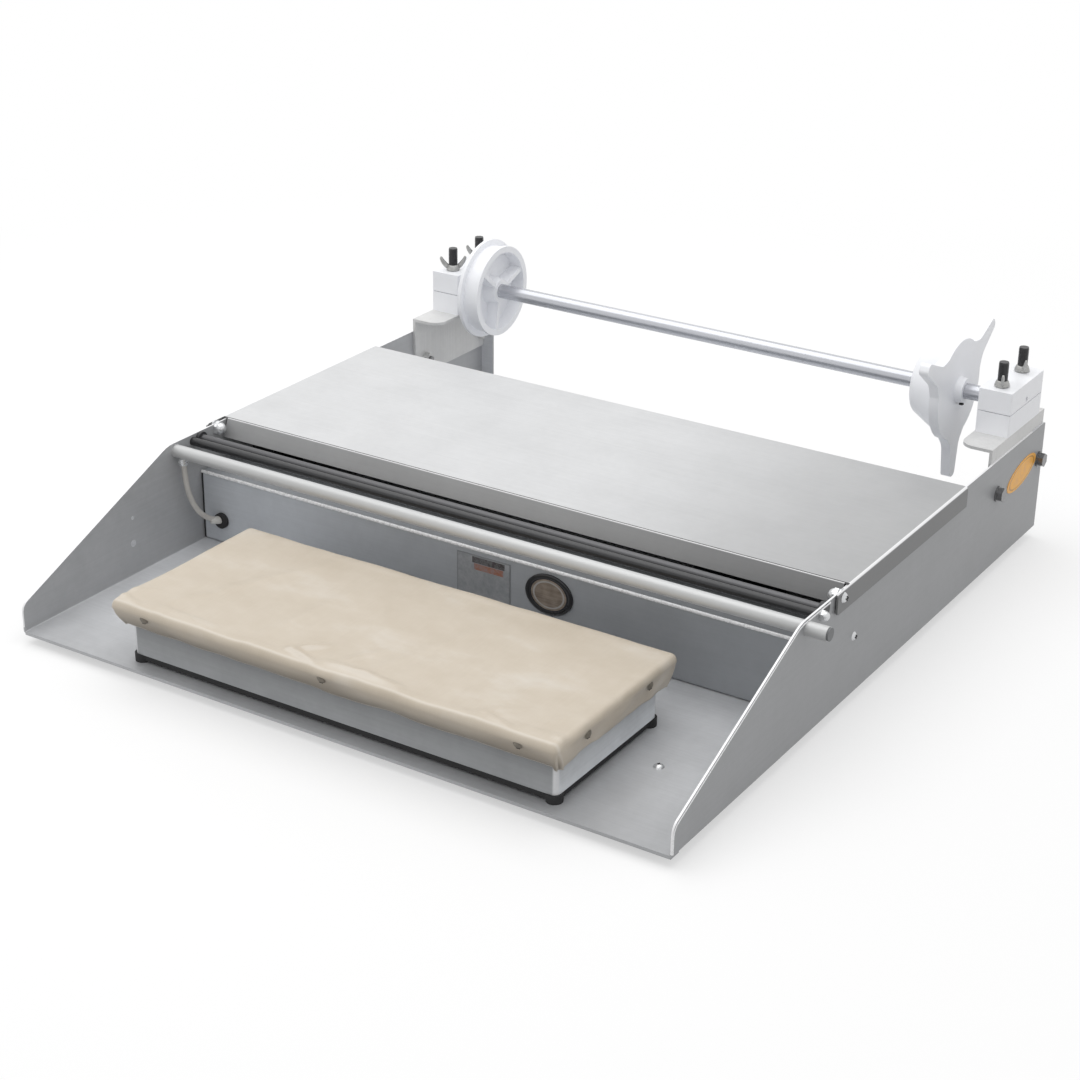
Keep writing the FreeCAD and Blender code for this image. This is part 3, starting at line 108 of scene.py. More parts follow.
class ClothSettings(bpy.types.PropertyGroup):
    tan: colour("Tan", "Colour of the coated cloth", (0.635, 0.565, 0.47))
    dusk: colour("Dusk", "Darker tan of its worn patches", (0.55, 0.475, 0.375))
    thickness: length("Thickness", "Thickness of the cloth", 0.5 * MM)
    edge_radius: length("Edge radius", "Radius of the cloth over the plate's edge", 4.4 * MM)
    corner_radius: length("Corner radius", "Radius of the corners seen from above", 5.6 * MM)
    cell: length("Cell", "Mesh spacing on the top", 1.8 * MM)
    skirt_rings: IntProperty(name="Skirt rings", description="Mesh rings down the skirt",
                             default=13, min=4)
    puff: length("Puff", "How far the skirt bulges between its screws", 1.1 * MM)
    weave_pitch: length("Weave pitch", "Distance from thread to thread", 1.1 * MM)


class LeadSettings(bpy.types.PropertyGroup):
    diameter: length("Diameter", "Diameter of the cut-off tube's lead", 4.4 * MM)
    route_length: length("Length", "Length of the lead from its gland to the grommet", 79.9 * MM)
    sleeve: colour("Sleeve", "Colour of the lead's sleeve", (0.55, 0.53, 0.50))


class FastenerSettings(bpy.types.PropertyGroup):
    recess_width: length("Recess width", "Width of the cross recess in a screw's head", 2.9 * MM)
    recess_depth: length("Recess depth", "Depth of the cross recess", 0.5 * MM)
    thread_pitch: length("Thread pitch", "Distance between the turns of the studs' thread",
                         1.0 * MM)
    thread_bulge: length("Thread bulge", "Half the height of a thread's turn", 0.42 * MM)
    wing_reach: length("Wing reach", "Wing's tip from the nut's middle", 12.2 * MM)
    wing_thickness: length("Wing thickness", "Thickness of a wing at its root", 2.6 * MM)


class PlasticSettings(bpy.types.PropertyGroup):
    white: colour("White", "Colour of the bearing blocks, the cup and the cone",
                  (0.94, 0.95, 0.98))
    black: colour("Black", "Colour of the knob, bushes and plugs", (0.035, 0.035, 0.038))
    rubber: colour("Rubber", "Colour of the feet and the grommets", (0.022, 0.022, 0.023))


class BadgeSettings(bpy.types.PropertyGroup):
    rim: length("Rim", "Width of the panel badge's dark ring", 3.4 * MM)
    bronze: colour("Bronze", "Colour of the plain middle of the panel badge",
                   (0.33, 0.27, 0.22))
    orange: colour("Orange", "Colour of the oval on the wall", (1.0, 0.46, 0.05))
    band: colour("Band", "Colour of the band on the plain plate", (0.42, 0.19, 0.13))


class ControlSettings(bpy.types.PropertyGroup):
    tick_count: IntProperty(name="Ticks", description="Ticks of the thermostat's dial",
                            default=11, min=2)
    tick_length: length("Tick length", "Length of a tick", 3.0 * MM)
    tick_radius: length("Dial radius", "Inner radius of the dial's ticks", 17.5 * MM)
    mark_height: length("Mark height", "Height of the marks on the rocker", 3.2 * MM)


class WrapperSettings(bpy.types.PropertyGroup):
    stage: PointerProperty(type=StageSettings, name="Stage", description="Lamp, floor, camera")
    sheets: PointerProperty(type=SheetSettings, name="Sheets", description="Folded sheets")
    cloth: PointerProperty(type=ClothSettings, name="Cloth", description="Hot plate's cloth")
    lead: PointerProperty(type=LeadSettings, name="Lead", description="Cut-off tube's lead")
    fasteners: PointerProperty(type=FastenerSettings, name="Fasteners",
                               description="Screws, studs and wing nuts")
    plastics: PointerProperty(type=PlasticSettings, name="Plastics",
                              description="Moulded pieces")
    badges: PointerProperty(type=BadgeSettings, name="Badges", description="Plain badges")
    controls: PointerProperty(type=ControlSettings, name="Controls",
                              description="Marks of the knob and the rocker")


# Finishes


def add_node(tree, kind, **inputs):
    """New node, each named input set to a value or linked to a socket."""
    node = tree.nodes.new(kind)
    for label, value in inputs.items():
        socket = node.inputs[label.replace("_", " ")]
        if hasattr(value, "is_output"):
            tree.links.new(value, socket)
        else:
            socket.default_value = value
    return node


def empty_tree(owner):
    owner.use_nodes = True
    owner.node_tree.nodes.clear()
    return owner.node_tree


def new_finish(name):
    finish = bpy.data.materials.new(name)
    tree = empty_tree(finish)
    shader = tree.nodes.new("ShaderNodeBsdfPrincipled")
    add_node(tree, "ShaderNodeOutputMaterial", Surface=shader.outputs["BSDF"])
    return finish, tree, shader


def on_object(tree, scale=PLAIN, middle=NOWHERE, turn=NOWHERE):
    """Object coordinates from a middle, turned, then scaled."""
    source = tree.nodes.new("ShaderNodeTexCoord")
    mapping = add_node(tree, "ShaderNodeMapping", Vector=source.outputs["Object"],
                       Location=middle, Rotation=turn, Scale=[1.0 / value for value in scale])
    mapping.vector_type = "TEXTURE"
    return mapping.outputs["Vector"]


def on_flat_cut(tree, scale=PLAIN):
    """The cloth's own UV map, in metres along its flat cut, scaled."""
    source = tree.nodes.new("ShaderNodeUVMap")
    source.uv_map = "flat_cut"
    return add_node(tree, "ShaderNodeMapping", Vector=source.outputs["UV"],
                    Scale=scale).outputs["Vector"]


def parts_of(tree, vector):
    return add_node(tree, "ShaderNodeSeparateXYZ", Vector=vector).outputs


def surface_parts(tree):
    """X, Y and Z of the surface's normal and of its place on the object."""
    source = tree.nodes.new("ShaderNodeTexCoord")
    return [parts_of(tree, source.outputs[kind]) for kind in ("Normal", "Object")]


def clouds(tree, vector, per_metre=1.0, detail=3.0, rough=0.55):
    return add_node(tree, "ShaderNodeTexNoise", Vector=vector, Scale=per_metre, Detail=detail,
                    Roughness=rough).outputs["Fac"]


def spread(tree, value, low, high, start=0.3, stop=0.7):
    """Maps start..stop of a value to low..high."""
    return add_node(tree, "ShaderNodeMapRange", Value=value, From_Min=start, From_Max=stop,
                    To_Min=low, To_Max=high).outputs["Result"]


def fading(tree, value, ends):
    """Maps two places along a value to their tones; ends holds (place, tone) twice."""
    (start, first), (stop, last) = ends
    return spread(tree, value, first, last, start, stop)


def arithmetic(tree, kind, first, second=0.0):
    node = tree.nodes.new("ShaderNodeMath")
    node.operation = kind
    for socket, value in zip(node.inputs, (first, second)):
        if isinstance(value, (int, float)):
            socket.default_value = value
        else:
            tree.links.new(value, socket)
    return node.outputs["Value"]


def times(tree, *factors):
    product = factors[0]
    for factor in factors[1:]:
        product = arithmetic(tree, "MULTIPLY", product, factor)
    return product


def plus(tree, first, second):
    return arithmetic(tree, "ADD", first, second)


def above(tree, value, limit):
    return arithmetic(tree, "GREATER_THAN", value, limit)


def below(tree, value, limit):
    return arithmetic(tree, "LESS_THAN", value, limit)


def size_of(tree, value):
    return arithmetic(tree, "ABSOLUTE", value)


def weighted(tree, *pairs):
    """Sum of three values, each with its weight."""
    first, second, third = [times(tree, value, weight) for value, weight in pairs]
    return plus(tree, first, plus(tree, second, third))


def tint(tree, factor, first, second):
    """Mix of two colours or colour sockets."""
    node = tree.nodes.new("ShaderNodeMix")
    node.data_type = "RGBA"
    tree.links.new(factor, node.inputs[0])
    for socket, value in ((node.inputs[6], first), (node.inputs[7], second)):
        if hasattr(value, "is_output"):
            tree.links.new(value, socket)
        else:
            socket.default_value = (*value, 1.0)
    return node.outputs[2]


def relief(tree, shader, height, strength, distance):
    node = add_node(tree, "ShaderNodeBump", Height=height, Strength=strength,
                    Distance=distance)
    tree.links.new(node.outputs["Normal"], shader.inputs["Normal"])


def dress(tree, shader, colours, roughness, **values):
    """Links a shader's colour and roughness and sets its other inputs by name."""
    tree.links.new(colours, shader.inputs["Base Color"])
    tree.links.new(roughness, shader.inputs["Roughness"])
    for label, value in values.items():
        shader.inputs[label.replace("_", " ")].default_value = value


def shade(value, amount):
    return tuple(min(1.0, part * amount) for part in value)


def about(tree, tone, base, less, more, start=0.3, stop=0.7):
    """A colour that runs from less to more of its base as the tone goes from start to stop."""
    return tint(tree, spread(tree, tone, 0.0, 1.0, start, stop), shade(base, less),
                shade(base, more))


def brushed(tree, grain):
    """Fine streaks along one axis."""
    fine, long = 520.0, 9.0
    return clouds(tree, on_object(tree, [long if axis == grain else fine for axis in "XYZ"]),
                  1.0, 2.0, 0.6)


def sheet_finish(name, base, metallic, roughness, grain="X", variation=0.10, wall_grain=None,
                 painted_face_shade=PLAIN, fade=None, bare_edge_highlight=None, painted_fold_highlight=0.0,
                 painted_corner_highlight=0.0, painted_shadow_band=None, painted_end_shade=None, painted_side_shade=None,
                 painted_depth_light=None):
    """Brushed sheet: cloudy patches and fine grain along one axis.

    wall_grain is the axis of the grain on faces along X. painted_face_shade dims or lifts, as
    painted light and shade, the faces that look along X, Y and Z. fade is painted light and
    shade: a tone at each of two places along X. bare_edge_highlight is a height over which faces
    along the sheet's rim are painted bright, partly as a bare edge and partly as a painted
    highlight. painted_fold_highlight is how strong a painted highlight lies on the rounded folds
    beside the top, painted_corner_highlight the same for upright corners. painted_shadow_band is
    (height, height, tone) of a band of painted shadow.
    painted_end_shade is the half length from which a front face is painted black as the shade in
    its end's gap. painted_side_shade are tones of painted light and shade on the faces along X
    on the left and on the right. painted_depth_light is painted light and shade: a tone at each
    of two places along Y for the other faces.
    """
    finish, tree, shader = new_finish(name)
    normal, place = surface_parts(tree)
    streaks = brushed(tree, grain)
    if wall_grain:
        on_wall = above(tree, size_of(tree, normal["X"]), 0.7)
        difference = arithmetic(tree, "SUBTRACT", brushed(tree, wall_grain), streaks)
        streaks = plus(tree, streaks, times(tree, difference, on_wall))
    patches = clouds(tree, on_object(tree), 26.0, 4.0, 0.62)
    spangle = clouds(tree, on_object(tree), 170.0, 2.0, 0.5)
    tone = weighted(tree, (patches, 0.5), (streaks, 0.3), (spangle, 0.2))
    colours = about(tree, tone, base, 1.0 - variation, 1.0 + variation, 0.36, 0.64)
    # Painted light and shade: faces that look along X, Y and Z are dimmed or lifted by their
    # tones.
    sides, front, top = [times(tree, times(tree, normal[axis], normal[axis]), tone_of)
                         for axis, tone_of in zip("XYZ", painted_face_shade)]
    light = plus(tree, front, top)
    # Painted light and shade: a tone that slides along X.
    if fade:
        slide = fading(tree, place["X"], fade)
        slide.node.interpolation_type = "SMOOTHSTEP"
        light = times(tree, light, slide)
    # Painted light and shade: a tone that slides along Y.
    if painted_depth_light:
        light = times(tree, light, fading(tree, place["Y"], painted_depth_light))
    # Painted light and shade: the faces along X get one tone on the left and another on the
    # right.
    if painted_side_shade:
        sides = times(tree, sides, spread(tree, place["X"], *painted_side_shade, -0.1, 0.1))
    light = plus(tree, light, sides)
    # Painted shadow: the faces darken between two heights, under the cloth's overhang.
    if painted_shadow_band:
        bottom, height, shadow_tone = painted_shadow_band
        light = times(tree, light, spread(tree, place["Z"], 1.0, shadow_tone, bottom, height))
    lit = tree.nodes.new("ShaderNodeVectorMath")
    lit.operation = "SCALE"
    tree.links.new(colours, lit.inputs[0])
    tree.links.new(light, lit.inputs["Scale"])
    colours = lit.outputs["Vector"]
    # The rim's faces are painted bright, partly a bare edge and partly a painted highlight.
    if bare_edge_highlight:
        rim = times(tree, below(tree, size_of(tree, normal["X"]), 0.5),
                    above(tree, place["Z"], bare_edge_highlight), below(tree, place["Y"], 0.27))
        colours = tint(tree, rim, colours, (0.92, 0.92, 0.93))
    # Painted highlight on the rounded folds beside the top.
    if painted_fold_highlight:
        painted_highlight = times(tree, spread(tree, normal["Z"], 0.0, painted_fold_highlight, 0.50, 0.66),
                       spread(tree, normal["Z"], 1.0, 0.0, 0.985, 0.9995))
        colours = tint(tree, painted_highlight, colours, (0.95, 0.95, 0.96))
    # Painted highlight on the upright rounded corners.
    if painted_corner_highlight:
        turned = size_of(tree, times(tree, normal["X"], normal["Y"]))
        colours = tint(tree, spread(tree, turned, 0.0, painted_corner_highlight, 0.22, 0.40), colours,
                       (0.93, 0.93, 0.94))
    # Painted shade: near each end the front face is painted black as the shade in its gap.
    if painted_end_shade:
        beyond = times(tree, above(tree, size_of(tree, place["X"]), painted_end_shade),
                       below(tree, normal["Y"], -0.5))
        colours = tint(tree, beyond, colours, (0.03, 0.03, 0.032))
    dress(tree, shader, colours, spread(tree, tone, roughness - 0.05, roughness + 0.07),
          Metallic=metallic)
    relief(tree, shader, streaks, 0.12, 0.12 * MM)
    return finish


def plain_finish(name, base, roughness, metallic=0.0, variation=0.06, patch=60.0, pits=1500.0,
                 depth=0.02 * MM, pit_strength=0.25, coat=0.0, sheen=0.0, stretch=PLAIN):
    """Moulded, painted or turned surface: faint patches and a fine skin."""
    finish, tree, shader = new_finish(name)
    patches = clouds(tree, on_object(tree, stretch), patch, 3.0)
    skin = clouds(tree, on_object(tree, stretch), pits, 1.0)
    dress(tree, shader, about(tree, patches, base, 1.0 - variation, 1.0 + variation),
          spread(tree, patches, max(0.02, roughness - 0.05), roughness + 0.05),
          Metallic=metallic, Coat_Weight=coat, Coat_Roughness=0.25, Sheen_Weight=sheen)
    relief(tree, shader, skin, pit_strength, depth)
    return finish


def oval_distance(tree, middle, turn, halves, axes):
    """0 in the middle of an ellipse, 1 on its edge. axes names its two directions."""
    parts = parts_of(tree, on_object(tree, PLAIN, middle, turn))
    ratios = [arithmetic(tree, "DIVIDE", parts[axis], half) for axis, half in zip(axes, halves)]
    squares = [times(tree, ratio, ratio) for ratio in ratios]
    return arithmetic(tree, "SQRT", plus(tree, *squares))


def stripe(tree, coordinate, low, high):
    """1 between two places along a coordinate, 0 elsewhere."""
    return times(tree, above(tree, coordinate, low), below(tree, coordinate, high))


def assign(finish, *nodes):
    for node in nodes:
        slots = frame["nodes"][node].data.materials
        slots.clear()
        slots.append(finish)


def slot_of(node):
    for part in frame["record"]["subparts"]:
        if part["node"] == node:
            return part["material_slot"]
    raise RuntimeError("no slot for " + node)


def nodes_of(slot):
    return [node for node in frame["nodes"] if slot_of(node) == slot]


def finish_slots(rows):
    """Gives plain finishes to the nodes of a slot or to single nodes."""
    for slot, nodes, values, more in rows:
        assign(plain_finish(*values, **more), *(nodes or nodes_of(slot)))


# Meshes


def box_of(node):
    """Low corner, high corner and middle of a CAD node's box."""
    low, high = [Vector(corner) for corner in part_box(node)]
    return low, high, (low + high) / 2.0


def centre_of(points):
    return sum(points, Vector()) / len(points)


def circle(steps):
    """Cosine and sine at equal steps round a circle."""
    return [(math.cos(2.0 * math.pi * step / steps), math.sin(2.0 * math.pi * step / steps))
            for step in range(steps)]


def ring_faces(rings, sides, closed=False, first=0):
    """Quads from ring to ring of points. closed joins the ends, which else get a cap each."""
    faces = []
    for ring in range(rings if closed else rings - 1):
        here, there = first + ring * sides, first + (ring + 1) % rings * sides
        for side in range(sides):
            after = (side + 1) % sides
            faces.append((here + side, there + side, there + after, here + after))
    if not closed:
        faces += [tuple(range(start, start + sides))
                  for start in (first, first + (rings - 1) * sides)]
    return faces


def new_piece(name, data, body, finish=None, smooth=False):
    piece = bpy.data.objects.new(name, data)
    bpy.context.scene.collection.objects.link(piece)
    if finish is not None:
        data.materials.clear()
        data.materials.append(finish)
    if smooth:
        data.polygons.foreach_set("use_smooth", [True] * len(data.polygons))
    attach(piece, body)
    return piece


def mesh_from(name, points, faces):
    mesh = bpy.data.meshes.new(name)
    mesh.from_pydata([tuple(point) for point in points], [], faces)
    mesh.validate()
    mesh.update()
    return mesh


def outward_faces(mesh):
    """Turns every face of a closed mesh outwards."""
    work = bmesh.new()
    work.from_mesh(mesh)
    bmesh.ops.recalc_face_normals(work, faces=work.faces)
    work.to_mesh(mesh)
    work.free()
    return mesh


def applied(piece):
    """Bakes a piece's modifiers into its mesh."""
    graph = bpy.context.evaluated_depsgraph_get()
    mesh = bpy.data.meshes.new_from_object(piece.evaluated_get(graph))
    piece.modifiers.clear()
    piece.data = mesh
    return mesh


def merged(node):
    """Copy of a CAD node's mesh with its loose triangles joined."""
    work = bmesh.new()
    work.from_mesh(frame["nodes"][node].data)
    bmesh.ops.remove_doubles(work, verts=work.verts, dist=0.5e-6)
    work.verts.ensure_lookup_table()
    return work


def loose_solids(node):
    """Points of each separate solid of a CAD node."""
    work = merged(node)
    groups, left = [], set(work.verts)
    while left:
        start = left.pop()
        group, edge = [start], [start]
        while edge:
            here = edge.pop()
            for link in here.link_edges:
                there = link.other_vert(here)
                if there in left:
                    left.discard(there)
                    group.append(there)
                    edge.append(there)
        groups.append([vertex.co.copy() for vertex in group])
    work.free()
    return groups


def surface_tree(node):
    work = merged(node)
    tree = BVHTree.FromBMesh(work)
    work.free()
    return tree


# Geometry Nodes that repeat small forms


def new_growth(name, inputs):
    """Empty tree with a geometry input, named inputs and a geometry output."""
    tree = bpy.data.node_groups.new(name, "GeometryNodeTree")
    tree.interface.new_socket("Geometry", in_out="INPUT", socket_type="NodeSocketGeometry")
    for label, value in inputs.items():
        kind = "NodeSocketInt" if isinstance(value, int) else "NodeSocketFloat"
        socket = tree.interface.new_socket(label, in_out="INPUT", socket_type=kind)
        socket.default_value = value
    tree.interface.new_socket("Geometry", in_out="OUTPUT", socket_type="NodeSocketGeometry")
    return tree, tree.nodes.new("NodeGroupInput").outputs, tree.nodes.new("NodeGroupOutput")


def combine(tree, x, y, z):
    return add_node(tree, "ShaderNodeCombineXYZ", X=x, Y=y, Z=z).outputs["Vector"]


def close_growth(tree, given, leave, form, finish, **more):
    """Puts a form on every point, its +Z along the point's facing, and ends the tree."""
    facing = tree.nodes.new("GeometryNodeInputNamedAttribute")
    facing.data_type = "FLOAT_VECTOR"
    facing.inputs["Name"].default_value = "facing"
    turn = tree.nodes.new("FunctionNodeAlignRotationToVector")
    turn.axis = "Z"
    tree.links.new(facing.outputs["Attribute"], turn.inputs["Vector"])
    placed = add_node(tree, "GeometryNodeInstanceOnPoints", Points=given["Geometry"],
                      Instance=form, Rotation=turn.outputs["Rotation"], **more)
    solid = add_node(tree, "GeometryNodeRealizeInstances", Geometry=placed.outputs["Instances"])
    coat = add_node(tree, "GeometryNodeSetMaterial", Geometry=solid.outputs["Geometry"],
                    Material=finish)
    tree.links.new(coat.outputs["Geometry"], leave.inputs["Geometry"])
    return tree


def cross_growth(finish):
    """Cross recess: two thin bars across each other on every point."""
    tree, given, leave = new_growth("cross_recess", {"Width": 2.8 * MM, "Depth": 0.5 * MM})
    wide, thin = given["Width"], times(tree, given["Width"], 0.24)
    bars = tree.nodes.new("GeometryNodeJoinGeometry")
    for x, y in ((wide, thin), (thin, wide)):
        bar = add_node(tree, "GeometryNodeMeshCube", Size=combine(tree, x, y, given["Depth"]))
        tree.links.new(bar.outputs["Mesh"], bars.inputs["Geometry"])
    return close_growth(tree, given, leave, bars.outputs["Geometry"], finish)


def thread_growth(finish):
    """Thread of a stud: a stack of rings on every point."""
    tree, given, leave = new_growth("stud_thread", {"Turns": 12, "Pitch": 1.0 * MM,
                                                    "Radius": 3.0 * MM, "Bulge": 0.4 * MM})
    path = add_node(tree, "GeometryNodeCurvePrimitiveCircle", Resolution=22,
                    Radius=given["Radius"])
    section = add_node(tree, "GeometryNodeCurvePrimitiveCircle", Resolution=4,
                       Radius=given["Bulge"])
    ring = add_node(tree, "GeometryNodeCurveToMesh", Curve=path.outputs["Curve"],
                    Profile_Curve=section.outputs["Curve"])
    line = add_node(tree, "GeometryNodeMeshLine", Count=given["Turns"],
                    Offset=combine(tree, 0.0, 0.0, given["Pitch"]))
    stack = add_node(tree, "GeometryNodeInstanceOnPoints", Points=line.outputs["Mesh"],
                     Instance=ring.outputs["Mesh"])
    whole = add_node(tree, "GeometryNodeRealizeInstances", Geometry=stack.outputs["Instances"])
    return close_growth(tree, given, leave, whole.outputs["Geometry"], finish)


def bar_growth(finish):
    """Dial tick: a short bar that runs along every point's facing."""
    tree, given, leave = new_growth("dial_tick", {"Length": 3.0 * MM, "Width": 0.6 * MM})
    bar = add_node(tree, "GeometryNodeMeshCube",
                   Size=combine(tree, given["Width"], given["Width"], given["Length"]))
    return close_growth(tree, given, leave, bar.outputs["Mesh"], finish)


def dome_growth(finish):
    """Weld spot: a flat dome on every point."""
    tree, given, leave = new_growth("weld_spot", {"Radius": 2.0 * MM, "Height": 0.3 * MM})
    ball = add_node(tree, "GeometryNodeMeshUVSphere", Segments=20, Rings=10, Radius=1.0)
    smooth = add_node(tree, "GeometryNodeSetShadeSmooth", Geometry=ball.outputs["Mesh"])
    return close_growth(tree, given, leave, smooth.outputs["Geometry"], finish,
                        Scale=combine(tree, given["Radius"], given["Radius"], given["Height"]))


def grown(name, tree, places, inputs, body):
    """Runs a tree on points with facings and keeps the result as one plain piece."""
    mesh = bpy.data.meshes.new(name)
    mesh.from_pydata([tuple(point) for point, _ in places], [], [])
    facings = mesh.attributes.new("facing", "FLOAT_VECTOR", "POINT")
    for index, (_, facing) in enumerate(places):
        facings.data[index].vector = facing
    carrier = bpy.data.objects.new(name + "_carrier", mesh)
    bpy.context.scene.collection.objects.link(carrier)
    modifier = carrier.modifiers.new("repeat", "NODES")
    modifier.node_group = tree
    for item in tree.interface.items_tree:
        if item.item_type == "SOCKET" and item.in_out == "INPUT" and item.name in inputs:
            modifier[item.identifier] = inputs[item.name]
    result = applied(carrier)
    bpy.data.objects.remove(carrier)
    if not result.polygons:
        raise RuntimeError(name + " came out empty")
    return new_piece(name, result, body)


# Operators


class WRAPPER_OT_camera(bpy.types.Operator):
    """Places the camera at the photograph's view"""
    bl_idname = "wrapper.camera"
    bl_label = "Camera"

    place = (0.84712, -1.36464, 0.77341)
    turn = (65.3626, -0.5941, 32.7594)

    def execute(self, context):
        data = bpy.data.cameras.new("photo_view")
        data.lens = context.scene.wrapper.stage.lens
        data.sensor_width = 36.0
        camera = bpy.data.objects.new("photo_view", data)
        camera.location = self.place
        camera.rotation_euler = [math.radians(part) for part in self.turn]
        context.scene.collection.objects.link(camera)
        context.scene.camera = camera
        return {"FINISHED"}


class WRAPPER_OT_lead(bpy.types.Operator):
    """Lays the cut-off tube's lead from its gland to the grommet in the front panel"""
    bl_idname = "wrapper.lead"
    bl_label = "Cut-off tube lead"

    route = ((-0.2715, -0.137526, 0.0913), (-0.2713, -0.136826, 0.0748),
             (-0.2707, -0.133826, 0.0570), (-0.2679, -0.127526, 0.0417),
             (-0.2624, -0.117826, 0.0320), (-0.2566, -0.104926, 0.0295))
    collar_profile = ((-7.0, 0.50), (-6.6, 0.60), (-3.0, 0.70), (-0.6, 0.74), (3.0, 0.72))

    def collar(self, settings):
        """Tapered pale sleeve where the lead goes into its grommet."""
        end, before = Vector(self.route[-1]), Vector(self.route[-2])
        along = (end - before).normalized()
        mouth = end + along * (box_of("lead_grommet")[0].y - end.y) / along.y
        side = along.cross(Z_WAY).normalized()
        upward = side.cross(along)
        sides = 20
        points = [mouth + along * reach * MM
                  + (side * cosine + upward * sine) * settings.diameter * wide
                  for reach, wide in self.collar_profile for cosine, sine in circle(sides)]
        mesh = mesh_from("tube_lead_collar", points,
                         ring_faces(len(self.collar_profile), sides))
        return new_piece("tube_lead_collar", outward_faces(mesh), "base",
                         plain_finish("pale_collar", (0.66, 0.65, 0.62), 0.5), True)

    def execute(self, context):
        settings = context.scene.wrapper.lead
        curve = bpy.data.curves.new("tube_lead_sleeve", "CURVE")
        curve.dimensions = "3D"
        curve.resolution_u = 14
        curve.bevel_depth = settings.diameter / 2.0
        curve.bevel_resolution = 6
        curve.use_fill_caps = True
        spline = curve.splines.new("NURBS")
        spline.points.add(len(self.route) - 1)
        for point, place in zip(spline.points, self.route):
            point.co = (*place, 1.0)
        spline.order_u = 3
        spline.use_endpoint_u = True
        finish = plain_finish("woven_sleeve", settings.sleeve, 0.6, pits=900.0,
                              depth=0.1 * MM, pit_strength=0.5, variation=0.10)
        lead = bpy.data.objects.new("tube_lead_sleeve", curve)
        context.scene.collection.objects.link(lead)
        curve.materials.append(finish)
        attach(lead, "base")
        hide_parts("tube_lead")
        collar = self.collar(settings)
        return {"FINISHED"}


class WRAPPER_OT_stage(bpy.types.Operator):
    """Makes the pale floor, the soft overhead lamp and the surroundings"""
    bl_idname = "wrapper.stage"
    bl_label = "Stage"

    def seen(self, tree):
        """1 for rays from the camera, a reflection or clear material, 0 for light itself."""
        path = tree.nodes.new("ShaderNodeLightPath")
        camera, glossy, clear = [path.outputs["Is " + kind + " Ray"]
                                 for kind in ("Camera", "Glossy", "Transmission")]
        return arithmetic(tree, "MAXIMUM", arithmetic(tree, "MAXIMUM", camera, glossy), clear)

    def floor(self, settings):
        work = bmesh.new()
        bmesh.ops.create_circle(work, cap_ends=True, segments=96, radius=settings.floor_radius)
        mesh = bpy.data.meshes.new("floor")
        work.to_mesh(mesh)
        work.free()
        finish = bpy.data.materials.new("pale_floor")
        tree = empty_tree(finish)
        seen = self.seen(tree)
        grey = (settings.floor_grey,) * 3
        matte = add_node(tree, "ShaderNodeBsdfDiffuse",
                         Color=tint(tree, seen, grey, (0.96, 0.96, 0.96)))
        bright = tree.nodes.new("ShaderNodeEmission")
        both = tree.nodes.new("ShaderNodeMixShader")
        away = tree.nodes.new("ShaderNodeVectorMath")
        away.operation = "LENGTH"
        tree.links.new(on_object(tree), away.inputs[0])
        fade = spread(tree, away.outputs["Value"], 1.0 - settings.shadow_share, 1.0, 0.55, 1.15)
        tree.links.new(times(tree, seen, fade), both.inputs["Fac"])
        tree.links.new(matte.outputs["BSDF"], both.inputs[1])
        tree.links.new(bright.outputs["Emission"], both.inputs[2])
        add_node(tree, "ShaderNodeOutputMaterial", Surface=both.outputs["Shader"])
        mesh.materials.append(finish)
        floor = bpy.data.objects.new("floor", mesh)
        bpy.context.scene.collection.objects.link(floor)

    def execute(self, context):
        scene = context.scene
        settings = scene.wrapper.stage
        self.floor(settings)
        lamp = bpy.data.lights.new("overhead_lamp", "AREA")
        lamp.shape = "SQUARE"
        lamp.size = settings.lamp_width
        lamp.energy = settings.lamp_power
        holder = bpy.data.objects.new("overhead_lamp", lamp)
        holder.location = (-0.45, 0.10, settings.lamp_height)
        scene.collection.objects.link(holder)
        world = bpy.data.worlds.new("studio")
        scene.world = world
        tree = empty_tree(world)
        sky = add_node(tree, "ShaderNodeBackground",
                       Color=tint(tree, self.seen(tree), (settings.ambient,) * 3, PLAIN))
        add_node(tree, "ShaderNodeOutputWorld", Surface=sky.outputs["Background"])
        scene.view_settings.view_transform = "Standard"
        return {"FINISHED"}


